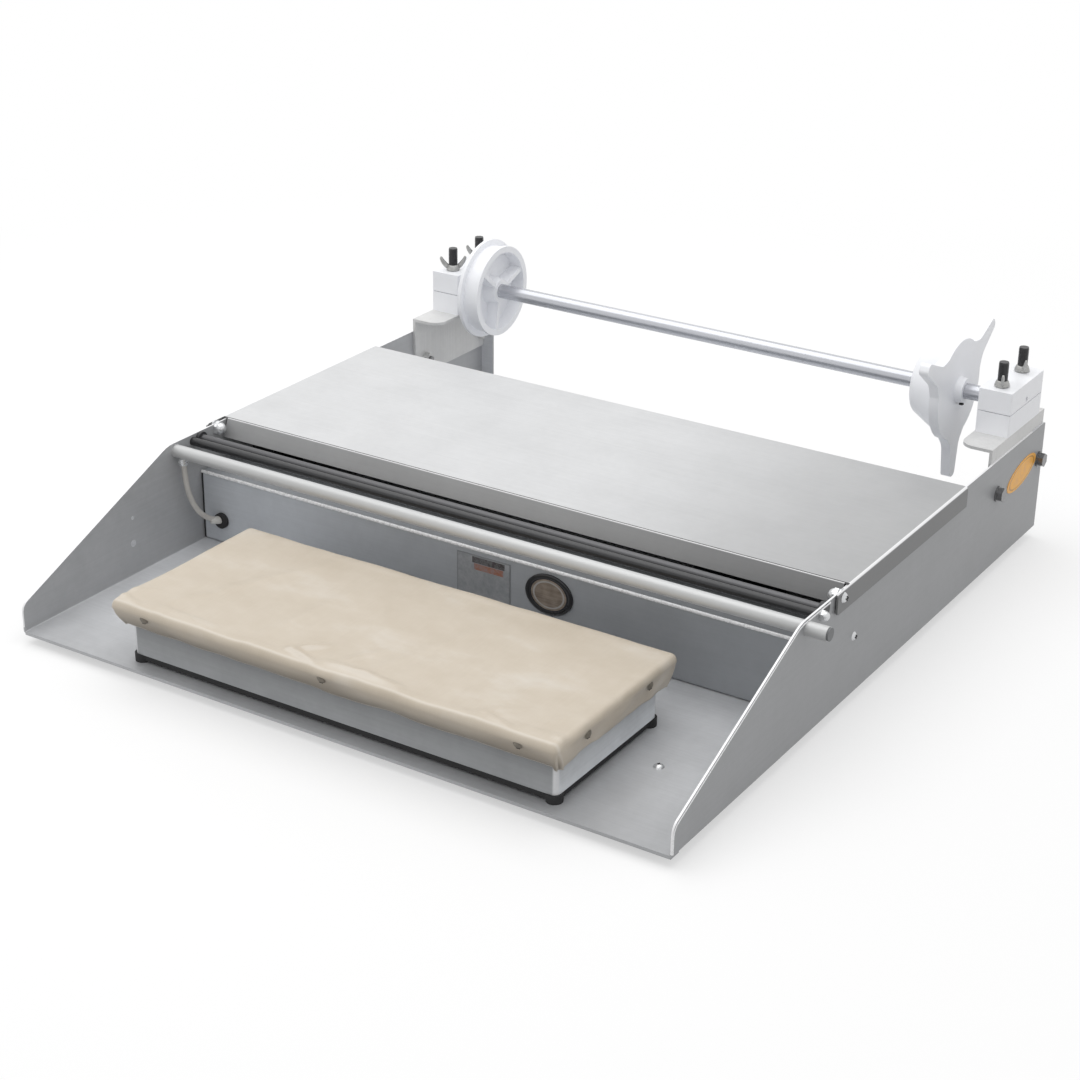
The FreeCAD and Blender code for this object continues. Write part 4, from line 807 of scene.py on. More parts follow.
class WRAPPER_OT_sheets(bpy.types.Operator):
    """Gives the folded sheets their brushed finish, with painted light and shade and painted
    highlights
    """
    bl_idname = "wrapper.sheets"
    bl_label = "Sheet metal"

    def execute(self, context):
        sheets = context.scene.wrapper.sheets
        metal, rough = sheets.metallic, sheets.roughness
        # Painted light and shade on the tray: fades along X and Y and left and right wall tones;
        # its bright rim is partly bare edge, partly painted highlight.
        tray = sheet_finish("tray_steel", sheets.tray, metal, rough, "X", 0.07, "Y",
                            fade=((0.05, 1.0), (0.27, 0.86)), bare_edge_highlight=13.0 * MM,
                            painted_side_shade=(0.86, 0.68), painted_depth_light=((-0.31, 0.98), (-0.15, 1.5)))
        # Painted light and shade on the cover: side and front faces dimmed, a painted reflection
        # fading along X, a painted highlight on the folds.
        cover = sheet_finish("cover_steel", sheets.cover, metal, rough, "X", 0.05, "Y",
                             (0.28, 0.42, 1.0), ((0.0, 1.0), (0.29, 0.64)), painted_fold_highlight=0.9)
        # Painted light and shade on the panel: top flange dimmed, a fade along X, painted shade
        # at its ends.
        panel = sheet_finish("panel_steel", sheets.panel, metal, rough + 0.03, "X", 0.06, None,
                             (1.0, 1.0, 0.6), ((-0.30, 1.7), (0.20, 1.1)),
                             painted_end_shade=box_of("front_panel")[1].x - 1.7 * MM)
        bracket = sheet_finish("bracket_steel", sheets.bracket, metal, rough + 0.05, "Z", 0.08)
        # Painted light and shade on the hot plate box: right side lifted, front dimmed, painted
        # highlight on the corners, a band of painted shadow under the cloth.
        hot_box = sheet_finish("hot_box_steel", sheets.hot_box, metal, rough, "X", 0.09, "Y",
                               (1.75, 0.78, 1.0), painted_corner_highlight=0.6,
                               painted_shadow_band=(18.0 * MM, 36.0 * MM, 0.66))
        for finish, slot in ((tray, "tray_sheet"), (cover, "cover_sheet"),
                             (panel, "panel_sheet"), (bracket, "bracket_sheet"),
                             (hot_box, "box_sheet")):
            assign(finish, *nodes_of(slot))
        return {"FINISHED"}


class WRAPPER_OT_bare_edge_highlights(bpy.types.Operator):
    """Adds bright beads along the edges of the front panel and of the right wall's slope, partly
    bare edges and partly painted highlights
    """
    bl_idname = "wrapper.bare_edges"
    bl_label = "Bare edges"

    def rounded_path(self, corners):
        """Points through corners of (y, z, radius), with an arc at each rounded one."""
        path = []
        for index, (y, z, radius) in enumerate(corners):
            here = Vector((y, z))
            if radius == 0.0:
                path.append(here)
                continue
            back = (Vector(corners[index - 1][:2]) - here).normalized()
            ahead = (Vector(corners[index + 1][:2]) - here).normalized()
            half = back.angle(ahead) / 2.0
            middle = here + (back + ahead).normalized() * radius / math.sin(half)
            start = here + back * radius / math.tan(half) - middle
            stop = here + ahead * radius / math.tan(half) - middle
            for step in range(9):
                between = start.lerp(stop, step / 8.0).normalized() * radius
                path.append(middle + between)
        return path

    def bead(self, name, path, across, radii, slot, finish):
        """Closed oval bead along a path. radii are its half widths across and upwards."""
        sides = 12
        near_end = [end.lerp(inner, 0.4 * MM / (inner - end).length)
                    for end, inner in ((path[0], path[1]), (path[-1], path[-2]))]
        path = [path[0], near_end[0]] + path[1:-1] + [near_end[1], path[-1]]
        points = []
        for index, here in enumerate(path):
            along = path[min(index + 1, len(path) - 1)] - path[max(index - 1, 0)]
            up = along.cross(across).normalized()
            points += [here + across * radii[0] * cosine + up * radii[1] * sine
                       for cosine, sine in circle(sides)]
        mesh = outward_faces(mesh_from(name, points, ring_faces(len(path), sides)))
        new_piece(name, mesh, "base", finish, True)

    def execute(self, context):
        # The beads are partly the bare cut edges and partly painted highlights along them.
        finish = plain_finish("bare_edge_highlight", (0.94, 0.94, 0.95), 0.28, 0.10, 0.03, 300.0)
        low, high, _ = box_of("front_panel")
        ends = [Vector((x, low.y + 0.25 * MM, high.z - 0.2 * MM))
                for x in (low.x + 0.4 * MM, high.x - 0.4 * MM)]
        self.bead("front_panel_edge", ends, Y_WAY, (1.5 * MM, 1.3 * MM), "panel_sheet", finish)
        low, high, _ = box_of("base_tray")
        profile = self.rounded_path([(0.6, 4.0, 0.0), (0.6, 22.6, 9.0), (168.0, 94.5, 30.0),
                                     (212.0, 94.5, 0.0)])
        path = [Vector((high.x - 0.75 * MM, low.y + point.x * MM, low.z + point.y * MM))
                for point in profile]
        self.bead("right_wall_edge", path, X_WAY, (1.15 * MM, 0.95 * MM), "tray_sheet", finish)
        return {"FINISHED"}


class WRAPPER_OT_rods(bpy.types.Operator):
    """Gives the shaft, the guide rods, the cut-off tube and the fasteners their finish"""
    bl_idname = "wrapper.rods"
    bl_label = "Rods and fasteners"

    turned = {"stretch": (0.04, 1.0, 1.0)}
    # slot, nodes if not the whole slot, (name, colour, roughness, metal, variation, patches
    # and pits per metre), more
    rows = (
        ("ground_steel", (), ("ground_shaft", (0.54, 0.55, 0.585), 0.26, 0.7, 0.08, 90.0,
                              900.0), turned),
        ("dark_steel", (), ("dark_ground_steel", (0.10, 0.10, 0.105), 0.30, 0.45, 0.15, 90.0,
                            900.0), turned),
        ("tube_steel", (), ("heat_dulled_tube", (0.54, 0.545, 0.545), 0.42, 0.35, 0.08, 70.0,
                            800.0), turned),
        ("bright_fasteners", (), ("bright_zinc", (0.66, 0.67, 0.68), 0.30, 0.7, 0.08, 300.0),
         {}),
        ("bright_fasteners", ("cup_set_screw", "star_set_screw"),
         ("set_screw_zinc", (0.40, 0.40, 0.40), 0.4, 0.5, 0.1, 260.0), {}),
        ("bright_fasteners", ("bracket_bolts",),
         ("grey_zinc", (0.20, 0.20, 0.205), 0.24, 0.75, 0.15, 260.0), {}),
        # The cloth screws' dark tone is partly stain and partly painted shade of their dimples.
        ("bright_fasteners", ("cloth_screws",),
         ("stained_zinc", (0.20, 0.178, 0.145), 0.5, 0.2, 0.2, 260.0), {}),
        ("bright_fasteners", ("bracket_nuts",),
         ("pale_zinc", (0.62, 0.62, 0.615), 0.45, 0.3, 0.08, 260.0), {}),
        ("zinc_wing_nuts", (), ("dull_zinc", (0.42, 0.42, 0.41), 0.42, 0.6, 0.12, 260.0), {}),
        ("black_steel", (), ("black_oxide", (0.022, 0.022, 0.024), 0.36, 0.2, 0.20, 200.0),
         {"coat": 0.2}),
        ("heater_steel", (), ("heater_sheath", (0.30, 0.28, 0.26), 0.5, 0.6, 0.14), {}),
        ("plate_metal", (), ("mill_aluminium", (0.66, 0.66, 0.66), 0.45, 0.6, 0.07), turned),
        ("iron_core", (), ("varnished_core", (0.10, 0.11, 0.12), 0.4, 0.3, 0.2, 400.0),
         {"stretch": (1.0, 1.0, 8.0)}),
    )

    def execute(self, context):
        finish_slots(self.rows)
        return {"FINISHED"}


class WRAPPER_OT_plastics(bpy.types.Operator):
    """Gives the moulded, rubber and wool pieces their finish"""
    bl_idname = "wrapper.plastics"
    bl_label = "Plastics and rubber"

    def execute(self, context):
        plastics = context.scene.wrapper.plastics
        finish_slots((
            ("white_plastic", (), ("white_nylon", plastics.white, 0.38, 0.0, 0.02, 40.0, 700.0,
                                   0.03 * MM, 0.2), {"coat": 0.15}),
            ("black_plastic", (), ("black_nylon", plastics.black, 0.42, 0.0, 0.15, 120.0,
                                   900.0), {}),
            ("black_rubber", (), ("black_rubber", plastics.rubber, 0.72, 0.0, 0.25, 90.0,
                                  700.0, 0.05 * MM, 0.4), {}),
            ("grey_plastic", (), ("grey_nylon", (0.15, 0.155, 0.16), 0.45, 0.0, 0.08), {}),
            ("red_plastic", (), ("red_nylon", (0.50, 0.02, 0.015), 0.3, 0.0, 0.06),
             {"coat": 0.3}),
            ("wool", (), ("mineral_wool", (0.62, 0.58, 0.46), 0.95, 0.0, 0.18, 120.0, 500.0,
                          0.6 * MM, 0.8), {"sheen": 0.3}),
            ("mat_film", (), ("silicone_mat", (0.30, 0.08, 0.03), 0.55, 0.0, 0.10, 60.0,
                              600.0), {}),
            ("lead_sleeve", (), ("sleeve_gland", context.scene.wrapper.lead.sleeve, 0.5), {}),
        ))
        return {"FINISHED"}


class WRAPPER_OT_cloth(bpy.types.Operator):
    """Stretches the coated cloth over the hot plate, held by its screws"""
    bl_idname = "wrapper.cloth"
    bl_label = "Hot plate cloth"

    arc_rings = 4
    dimple = 22.0 * MM
    # start, stop, width and height of each ridge, measured from the screw that pulls it up
    ridges = (((-0.012, 0.008), (-0.037, 0.014), 0.0030, 3.2),
              ((-0.036, 0.013), (-0.017, 0.034), 0.0029, 2.5),
              ((-0.003, 0.013), (0.060, 0.011), 0.0038, 3.0),
              ((0.004, 0.019), (0.022, 0.050), 0.0036, 1.2))
    # middle, way in degrees, width and height of each long crease
    creases = (((-0.060, -0.020), 84.0, 0.006, 0.60), ((0.040, -0.030), 74.0, 0.005, 0.55),
               ((0.085, 0.005), 98.0, 0.007, 0.55), ((0.135, -0.020), 80.0, 0.006, 0.60),
               ((-0.015, 0.010), 112.0, 0.005, 0.40), ((-0.120, 0.012), 66.0, 0.006, 0.50),
               ((-0.155, -0.030), 100.0, 0.005, 0.40))

    def stations(self, half, corner, cell):
        """Grid lines across the top, with three cells in each rounded corner."""
        inner = half - corner
        count = max(4, round(2.0 * inner / cell))
        middle = [-inner + 2.0 * inner * index / count for index in range(count + 1)]
        turn = [corner * index / 3.0 for index in range(3)]
        return [step - half for step in turn] + middle + [half - step for step in turn[::-1]]

    def rounded(self, x, y, half, corner):
        """Moves a grid point of a corner's square into the corner's quarter circle."""
        across = abs(x) - (half[0] - corner)
        along = abs(y) - (half[1] - corner)
        if across <= 0.0 or along <= 0.0:
            return x, y
        ratio = max(across, along) / math.hypot(across, along)
        return (math.copysign(half[0] - corner + across * ratio, x),
                math.copysign(half[1] - corner + along * ratio, y))

    def outward(self, x, y, half, corner):
        across = max(0.0, abs(x) - (half[0] - corner))
        along = max(0.0, abs(y) - (half[1] - corner))
        way = Vector((math.copysign(across, x), math.copysign(along, y), 0.0))
        return way.normalized()

    def ridge(self, x, y, start, stop, width, height):
        """Height at a place of one soft ridge of the cloth from start to stop."""
        run = (stop[0] - start[0], stop[1] - start[1])
        part = (x - start[0]) * run[0] + (y - start[1]) * run[1]
        part = min(1.0, max(0.0, part / (run[0] ** 2 + run[1] ** 2)))
        aside = math.hypot(x - start[0] - run[0] * part, y - start[1] - run[1] * part)
        return height * math.exp(-(aside / width) ** 2) * (0.4 + 0.6 * math.sin(math.pi * part))

    def rise(self, x, y):
        """How far the top stands off the plate: slack, long creases, ridges at the screws."""
        lift = 0.60 * (0.6 + noise.noise(Vector((x * 18.0, y * 9.0, 3.1))))
        lift += 0.30 * (0.5 + noise.noise(Vector((x * 64.0, y * 30.0, 7.7))))
        border = min(self.half[0] - abs(x), self.half[1] - abs(y))
        swell = 1.0 + 0.8 * noise.noise(Vector((x * 30.0, y * 30.0, 9.4)))
        lift += (1.2 if y < 0.0 else 0.8) * swell * math.exp(-(border / (6.0 * MM)) ** 2)
        for start, degrees, width, height in self.creases:
            cosine, sine = math.cos(math.radians(degrees)), math.sin(math.radians(degrees))
            across = (x - start[0]) * -sine + (y - start[1]) * cosine
            down = (x - start[0]) * cosine + (y - start[1]) * sine
            lift += 1.9 * height * math.exp(-(across / width) ** 2 - (down / 0.055) ** 2)
        for place, strength in self.pulls:
            for start, stop, width, height in self.ridges:
                lift += strength * self.ridge(x - place[0], y - place[1], start, stop, width,
                                              height)
            away = math.hypot((x - place[0]) / (9.0 * MM), (y - place[1]) / (7.0 * MM))
            lift -= strength * 1.2 * math.exp(-away ** 2)
        return max(0.02, lift) * MM

    def execute(self, context):
        settings = context.scene.wrapper.cloth
        low, high, middle = box_of("plate_cloth")
        box_low, box_high, _ = box_of("plate_box")
        wide = ((high.x - low.x) / 2.0, (high.y - low.y) / 2.0)
        narrow = ((box_high.x - box_low.x) / 2.0 + 4.8 * MM,
                  (box_high.y - box_low.y) / 2.0 + 4.8 * MM)
        fall = high.z - low.z
        edge, corner = settings.edge_radius, settings.corner_radius
        half = (wide[0] - edge, wide[1] - edge)
        inner_corner = corner - edge
        screws = [centre_of(points) - middle for points in loose_solids("cloth_screws")]
        self.half = half
        self.pulls = [((screw.x, -wide[1]), 1.0 if abs(screw.x) < 0.05 else 0.45)
                      for screw in screws if screw.y < -wide[1] * 0.7]
        xs = self.stations(half[0], inner_corner, settings.cell)
        ys = self.stations(half[1], inner_corner, settings.cell)
        points, flats, faces, index_at = [], [], [], {}
        for row, y in enumerate(ys):
            for column, x in enumerate(xs):
                px, py = self.rounded(x, y, half, inner_corner)
                index_at[column, row] = len(points)
                border = min(half[0] - abs(px), half[1] - abs(py))
                fade = min(1.0, max(0.0, border / (3.0 * MM)))
                points.append(Vector((px, py, self.rise(px, py) * (0.85 + 0.15 * fade))))
                flats.append((px, py))
        last_x, last_y = len(xs) - 1, len(ys) - 1
        for row in range(last_y):
            for column in range(last_x):
                faces.append((index_at[column, row], index_at[column + 1, row],
                              index_at[column + 1, row + 1], index_at[column, row + 1]))
        loop = ([(column, 0) for column in range(last_x)]
                + [(last_x, row) for row in range(last_y)]
                + [(column, last_y) for column in range(last_x, 0, -1)]
                + [(0, row) for row in range(last_y, 0, -1)])
        previous = [index_at[key] for key in loop]
        rings, arc_rings = settings.skirt_rings, self.arc_rings
        for ring in range(1, rings + arc_rings + 1):
            current = []
            for key, start in zip(loop, [index_at[key] for key in loop]):
                px, py, pz = points[start]
                way = self.outward(px, py, half, inner_corner)
                outer = Vector((px, py, 0.0)) + way * edge
                if ring <= arc_rings:
                    angle = math.pi / 2.0 * ring / arc_rings
                    place = outer - way * edge * (1.0 - math.sin(angle))
                    drop = edge * (1.0 - math.cos(angle))
                    down = 0.0
                    run = edge * angle
                else:
                    down = (ring - arc_rings) / rings
                    drop = edge + (fall - edge) * down
                    share_in = max(0.0, (drop - 3.0 * MM) / (fall - 3.0 * MM)) ** 1.25
                    inside = self.narrowed(outer, wide, narrow, corner)
                    place = outer.lerp(inside, share_in)
                    run = edge * math.pi / 2.0 + (fall - edge) * down * 1.25
                place, drop = self.slack(place, drop, down, way, outer, screws, settings)
                lift = pz * (1.0 - min(1.0, drop / edge)) if ring <= arc_rings else 0.0
                current.append(len(points))
                points.append(Vector((place.x, place.y, lift - drop)))
                flats.append((px + way.x * run, py + way.y * run))
            count = len(current)
            for step in range(count):
                after = (step + 1) % count
                faces.append((previous[step], current[step], current[after], previous[after]))
            previous = current
        top = Vector((middle.x, middle.y, high.z))
        mesh = mesh_from("hot_plate_cloth", [point + top for point in points], faces)
        layer = mesh.uv_layers.new(name="flat_cut")
        for polygon in mesh.polygons:
            for corner_index in polygon.loop_indices:
                layer.data[corner_index].uv = flats[mesh.loops[corner_index].vertex_index]
        cloth = new_piece("hot_plate_cloth", mesh, "base", self.finish(settings),
                          True)
        wall = cloth.modifiers.new("thickness", "SOLIDIFY")
        wall.thickness = settings.thickness
        wall.offset = -1.0
        applied(cloth)
        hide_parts("plate_cloth")
        return {"FINISHED"}

    def narrowed(self, outer, wide, narrow, corner):
        """The point of the skirt's foot under a point of the cloth's edge."""
        result = []
        for value, far, near in zip(outer[:2], wide, narrow):
            flat = far - corner
            if abs(value) <= flat:
                result.append(value * (near - corner) / flat)
            else:
                result.append(math.copysign(abs(value) - far + near, value))
        return Vector((*result, 0.0))

    def slack(self, place, drop, down, way, outer, screws, settings):
        """Puffs between the screws, dimples at them, a wavy hem and pinched corners."""
        along = outer.x * 1.0 + outer.y * 1.7
        near = max(math.exp(-(outer - Vector((screw.x, screw.y, 0.0))).length_squared
                            / self.dimple ** 2) for screw in screws)
        swell = math.sin(math.pi * min(1.0, down * 1.05)) if down > 0.0 else 0.0
        push = settings.puff * (1.0 - near) * swell
        push -= 1.5 * MM * near * swell
        push += 1.3 * MM * noise.noise(Vector((along * 42.0, down * 2.0, 1.3))) * down
        if down == 0.0:
            push += 0.30 * MM * noise.noise(Vector((along * 45.0, 0.0, 5.9))) * drop / 0.0026
        corner_way = abs(way.x * way.y) * 2.0
        if corner_way > 0.05:
            angle = math.atan2(abs(way.y), abs(way.x))
            front_right = 1.0 if outer.x > 0.0 and outer.y < 0.0 else 0.6
            groove = math.exp(-((angle - math.radians(40.0)) / 0.20) ** 2)
            push += (1.6 - 5.0 * groove) * MM * corner_way * down * front_right
            drop += 2.6 * MM * corner_way * down * front_right
        drop += 1.6 * MM * noise.noise(Vector((along * 26.0, 2.2, 0.4))) * down
        return place + way * push, drop

    def finish(self, settings):
        finish, tree, shader = new_finish("coated_cloth")
        pitch = 1.0 / settings.weave_pitch
        weave = []
        for direction in ("X", "Y"):
            threads = add_node(tree, "ShaderNodeTexWave", Scale=pitch / (2.0 * math.pi) * 2.0,
                               Distortion=0.6, Detail=1.0)
            threads.bands_direction = direction
            tree.links.new(on_flat_cut(tree), threads.inputs["Vector"])
            weave.append(threads.outputs["Fac"])
        threads = times(tree, *weave)
        flow = clouds(tree, on_flat_cut(tree, (0.7, 1.5, 1.0)), 16.0, 4.0, 0.6)
        stains = clouds(tree, on_flat_cut(tree), 60.0, 3.0, 0.6)
        warp = clouds(tree, on_flat_cut(tree, (900.0, 25.0, 1.0)), 1.0, 2.0, 0.5)
        tone = weighted(tree, (flow, 0.6), (stains, 0.25), (warp, 0.15))
        body = tint(tree, spread(tree, tone, 0.0, 1.0, 0.35, 0.65), settings.dusk, settings.tan)
        pale = tint(tree, spread(tree, flow, 0.0, 0.5, 0.55, 0.8), body, (0.70, 0.67, 0.62))
        colours = tint(tree, times(tree, threads, 0.10), pale, shade(settings.tan, 1.18))
        normal, place = surface_parts(tree)
        ahead = times(tree, normal["Y"], -1.0)
        # Painted highlight along the cloth's rounded front edge, on faces tilted a little
        # forwards.
        painted_highlight = times(tree, spread(tree, ahead, 0.0, 0.4, 0.06, 0.30),
                       spread(tree, ahead, 1.0, 0.0, 0.42, 0.66))
        colours = tint(tree, painted_highlight, colours, (0.80, 0.75, 0.68))
        # Painted shade: the front of the skirt darkens from the crease towards its hem.
        top = box_of("plate_cloth")[1].z
        painted_skirt_shade = times(tree, spread(tree, ahead, 0.0, 1.0, 0.3, 0.8),
                       spread(tree, place["Z"], 0.85, 0.0, top - 19.0 * MM, top - 3.0 * MM))
        colours = tint(tree, painted_skirt_shade, colours, (0.17, 0.145, 0.115))
        dress(tree, shader, colours, spread(tree, tone, 0.44, 0.60), Sheen_Weight=0.12,
              Coat_Weight=0.12, Coat_Roughness=0.4)
        relief(tree, shader, plus(tree, times(tree, threads, 0.5), times(tree, stains, 2.0)),
               0.35, 0.12 * MM)
        return finish


class WRAPPER_OT_recesses(bpy.types.Operator):
    """Sets a cross recess on the head of every screw"""
    bl_idname = "wrapper.recesses"
    bl_label = "Screw recesses"

    def head(self, points, axis):
        """Top of a screw's head and the way it faces along an axis."""
        centre = centre_of(points)
        middle = Vector([(max(values) + min(values)) / 2.0 for values in zip(*points)])
        away = [(point - centre - axis * (point - centre).dot(axis)).length
                for point in points]
        rim = [point for point, distance in zip(points, away) if distance > max(away) * 0.97]
        facing = axis if sum((point - middle).dot(axis) for point in rim) > 0.0 else -axis
        return max(points, key=lambda point: point.dot(facing)), facing

    def execute(self, context):
        settings = context.scene.wrapper.fasteners
        finish = plain_finish("recess_shadow", (0.02, 0.02, 0.02), 0.7)
        tree = cross_growth(finish)
        groups = {"side_screws": (X_WAY, 1.1), "pivot_bolts": (X_WAY, 1.3),
                  "foot_screws": (Z_WAY, 0.8)}
        bodies = {node: body for body, members in frame["record"]["behaviour"]["bodies"].items()
                  for node in members}
        for node, (axis, size) in groups.items():
            places = [self.head(points, axis) for points in loose_solids(node)]
            grown(node + "_recesses", tree, places,
                  {"Width": settings.recess_width * size, "Depth": settings.recess_depth},
                  bodies[node])
        low, high, middle = box_of("plate_cloth")
        box_low = box_of("plate_box")[0]
        rise = box_of("heating_plate")[0].z - low.z
        places = []
        for points in loose_solids("cloth_screws"):
            centre = centre_of(points) - middle
            if abs(centre.x) / (high.x - low.x) > abs(centre.y) / (high.y - low.y):
                facing = Vector((math.copysign(rise, centre.x), 0.0, low.x - box_low.x))
            else:
                facing = Vector((0.0, math.copysign(rise, centre.y), low.y - box_low.y))
            facing.normalize()
            places.append((max(points, key=lambda point: point.dot(facing)), facing))
        grown("cloth_screw_recesses", tree, places,
              {"Width": settings.recess_width, "Depth": settings.recess_depth}, "base")
        return {"FINISHED"}


class WRAPPER_OT_threads(bpy.types.Operator):
    """Winds the thread round the four clamping studs above their nuts"""
    bl_idname = "wrapper.threads"
    bl_label = "Stud threads"

    def execute(self, context):
        settings = context.scene.wrapper.fasteners
        finish = frame["nodes"]["clamp_studs"].data.materials[0]
        start = box_of("left_front_wing_nut")[0].z + 6.2 * MM
        places = []
        for points in loose_solids("clamp_studs"):
            top = max(point.z for point in points)
            head = [point for point in points if point.z > top - 1.0 * MM]
            centre = centre_of(head)
            places.append((Vector((centre.x, centre.y, start)), Z_WAY))
        turns = int((top - start) / settings.thread_pitch)
        radius = max(point.x for point in head) - centre.x
        grown("stud_threads", thread_growth(finish), places,
              {"Turns": turns, "Pitch": settings.thread_pitch,
               "Radius": radius - 0.1 * MM, "Bulge": settings.thread_bulge}, "base")
        return {"FINISHED"}


class WRAPPER_OT_wing_nuts(bpy.types.Operator):
    """Shapes the four wing nuts with soft, rising wings"""
    bl_idname = "wrapper.wing_nuts"
    bl_label = "Wing nuts"

    nuts = (("left_front_wing_nut", "wing_left_front", 38.0),
            ("left_rear_wing_nut", "wing_left_rear", 40.0),
            ("right_front_wing_nut", "wing_right_front", 112.0),
            ("right_rear_wing_nut", "wing_right_rear", 124.0))
    # share of the reach, share of the height and width of each section of a wing
    sections = ((0.34, 0.20, 0.42), (0.52, 0.34, 0.44), (0.72, 0.56, 0.40), (0.86, 0.78, 0.33),
                (0.90, 0.93, 0.22), (0.905, 0.985, 0.08))

    def hub(self, radius, height, bore):
        """Points and faces of the nut's tapered hub with its bore."""
        profile = ((bore, 0.0), (radius, 0.0), (radius, height * 0.30),
                   (radius * 0.80, height * 0.86), (radius * 0.70, height), (bore, height))
        points = [(out * cosine, out * sine, up) for cosine, sine in circle(24)
                  for out, up in profile]
        return points, ring_faces(24, len(profile), True)

    def wing(self, points, faces, side, reach, top, thickness):
        """Adds the wing on one side of the hub."""
        sides = 12
        faces.extend(ring_faces(len(self.sections), sides, first=len(points)))
        for out, up, width in self.sections:
            ahead = Vector((0.72, 0.70)) if up < 0.6 else Vector((0.25, 0.97))
            across = Vector((ahead.y, -ahead.x)).normalized()
            for cosine, sine in circle(sides):
                flat = math.copysign(abs(cosine) ** 0.8, cosine)
                off = across * flat * width * reach * 0.45
                deep = sine * thickness / 2.0 * (1.0 if up < 0.9 else 0.7)
                points.append((side * (out * reach + off.x), deep, up * top + off.y))

    def execute(self, context):
        settings = context.scene.wrapper.fasteners
        finish = frame["nodes"]["left_front_wing_nut"].data.materials[0]
        for node, body, turn in self.nuts:
            low, high, centre = box_of(node)
            points, faces = self.hub(6.3 * MM, 5.4 * MM, 3.15 * MM)
            for side in (1, -1):
                self.wing(points, faces, side, settings.wing_reach, high.z - low.z,
                          settings.wing_thickness)
            angle = math.radians(turn)
            placed = [(centre.x + x * math.cos(angle) - y * math.sin(angle),
                       centre.y + x * math.sin(angle) + y * math.cos(angle), low.z + z)
                      for x, y, z in points]
            mesh = outward_faces(mesh_from(body + "_nut", placed, faces))
            nut = new_piece(body + "_nut", mesh, body, finish, True)
            softening = nut.modifiers.new("softening", "SUBSURF")
            softening.levels = softening.render_levels = 1
            applied(nut)
            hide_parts(node)
        return {"FINISHED"}


class WRAPPER_OT_badges(bpy.types.Operator):
    """Finishes the plain oval badge, the plain plate and the orange oval"""
    bl_idname = "wrapper.badges"
    bl_label = "Badges and plates"

    def panel_badge(self, settings):
        low, high, middle = box_of("panel_badge")
        half_x, half_z = (high.x - low.x) / 2.0, (high.z - low.z) / 2.0
        finish, tree, shader = new_finish("plain_oval_badge")
        away = oval_distance(tree, middle, NOWHERE, (half_x, half_z), "XZ")
        brushed = clouds(tree, on_object(tree, (40.0, 1.0, 700.0)), 1.0, 2.0)
        cloudy = clouds(tree, on_object(tree), 160.0, 3.0)
        tone = times(tree, plus(tree, brushed, cloudy), 0.5)
        field = about(tree, tone, settings.bronze, 0.62, 1.45)
        line = stripe(tree, away, 0.60, 0.67)
        ring = tint(tree, line, field, (0.52, 0.50, 0.48))
        whole = tint(tree, above(tree, away, 0.75), ring, (0.035, 0.035, 0.04))
        dress(tree, shader, whole, spread(tree, tone, 0.32, 0.5), Metallic=0.35)
        relief(tree, shader, plus(tree, line, times(tree, cloudy, 0.5)), 0.5, 0.3 * MM)
        assign(finish, "panel_badge")
        steps, sides, points = 72, 10, []
        for cosine, sine in circle(steps):
            for inward, out in circle(sides):
                inset = settings.rim / 2.0 * (1.0 - inward * 0.98)
                points.append((middle.x + (half_x - inset) * cosine, low.y - 0.45 * MM * out,
                               middle.z + (half_z - inset) * sine))
        mesh = outward_faces(mesh_from("panel_badge_rim", points,
                                       ring_faces(steps, sides, True)))
        new_piece("panel_badge_rim", mesh, "base",
                  plain_finish("black_enamel", (0.02, 0.02, 0.022), 0.3, 0.1, 0.2, coat=0.4),
                  True)

    def data_plate(self, settings):
        low, high, middle = box_of("data_plate")
        half_x, half_z = (high.x - low.x) / 2.0, (high.z - low.z) / 2.0
        finish, tree, shader = new_finish("plain_plate")
        parts = parts_of(tree, on_object(tree, PLAIN, middle))
        x, z = parts["X"], parts["Z"]
        worn = clouds(tree, on_object(tree), 260.0, 4.0, 0.7)
        plain = tint(tree, spread(tree, worn, 0.0, 1.0), (0.33, 0.345, 0.365),
                     (0.47, 0.48, 0.495))
        band = times(tree, stripe(tree, z, half_z * 0.30, half_z * 0.60),
                     stripe(tree, x, -half_x * 0.35, half_x * 0.75),
                     spread(tree, worn, 0.45, 1.0, 0.35, 0.6))
        coloured = tint(tree, band, plain, settings.band)
        frames = [above(tree, size_of(tree, value), half - 0.8 * MM)
                  for value, half in ((x, half_x), (z, half_z))]
        line = times(tree, arithmetic(tree, "MAXIMUM", *frames), 0.6)
        head = times(tree, stripe(tree, z, half_z * 0.62, half_z * 0.92),
                     stripe(tree, x, -half_x * 0.42, half_x * 0.80),
                     spread(tree, worn, 0.5, 1.0, 0.35, 0.6))
        coloured = tint(tree, head, coloured, (0.09, 0.08, 0.08))
        dress(tree, shader, tint(tree, line, coloured, (0.24, 0.25, 0.26)),
              spread(tree, worn, 0.4, 0.55), Metallic=0.3)
        relief(tree, shader, worn, 0.2, 0.05 * MM)
        assign(finish, "data_plate")

    def wall_badge(self, settings):
        finish, tree, shader = new_finish("orange_foil")
        away = oval_distance(tree, box_of("wall_badge")[2], (math.radians(9.0), 0.0, 0.0),
                             (30.0 * MM, 10.5 * MM), "YZ")
        faded = clouds(tree, on_object(tree), 220.0, 4.0, 0.6)
        field = about(tree, faded, settings.orange, 0.84, 1.1)
        dress(tree, shader, tint(tree, stripe(tree, away, 0.80, 0.88), field,
                                 shade(settings.orange, 0.55)),
              spread(tree, faded, 0.38, 0.55), Coat_Weight=0.2)
        relief(tree, shader, faded, 0.15, 0.04 * MM)
        assign(finish, "wall_badge")

    def execute(self, context):
        settings = context.scene.wrapper.badges
        self.panel_badge(settings)
        self.data_plate(settings)
        self.wall_badge(settings)
        return {"FINISHED"}


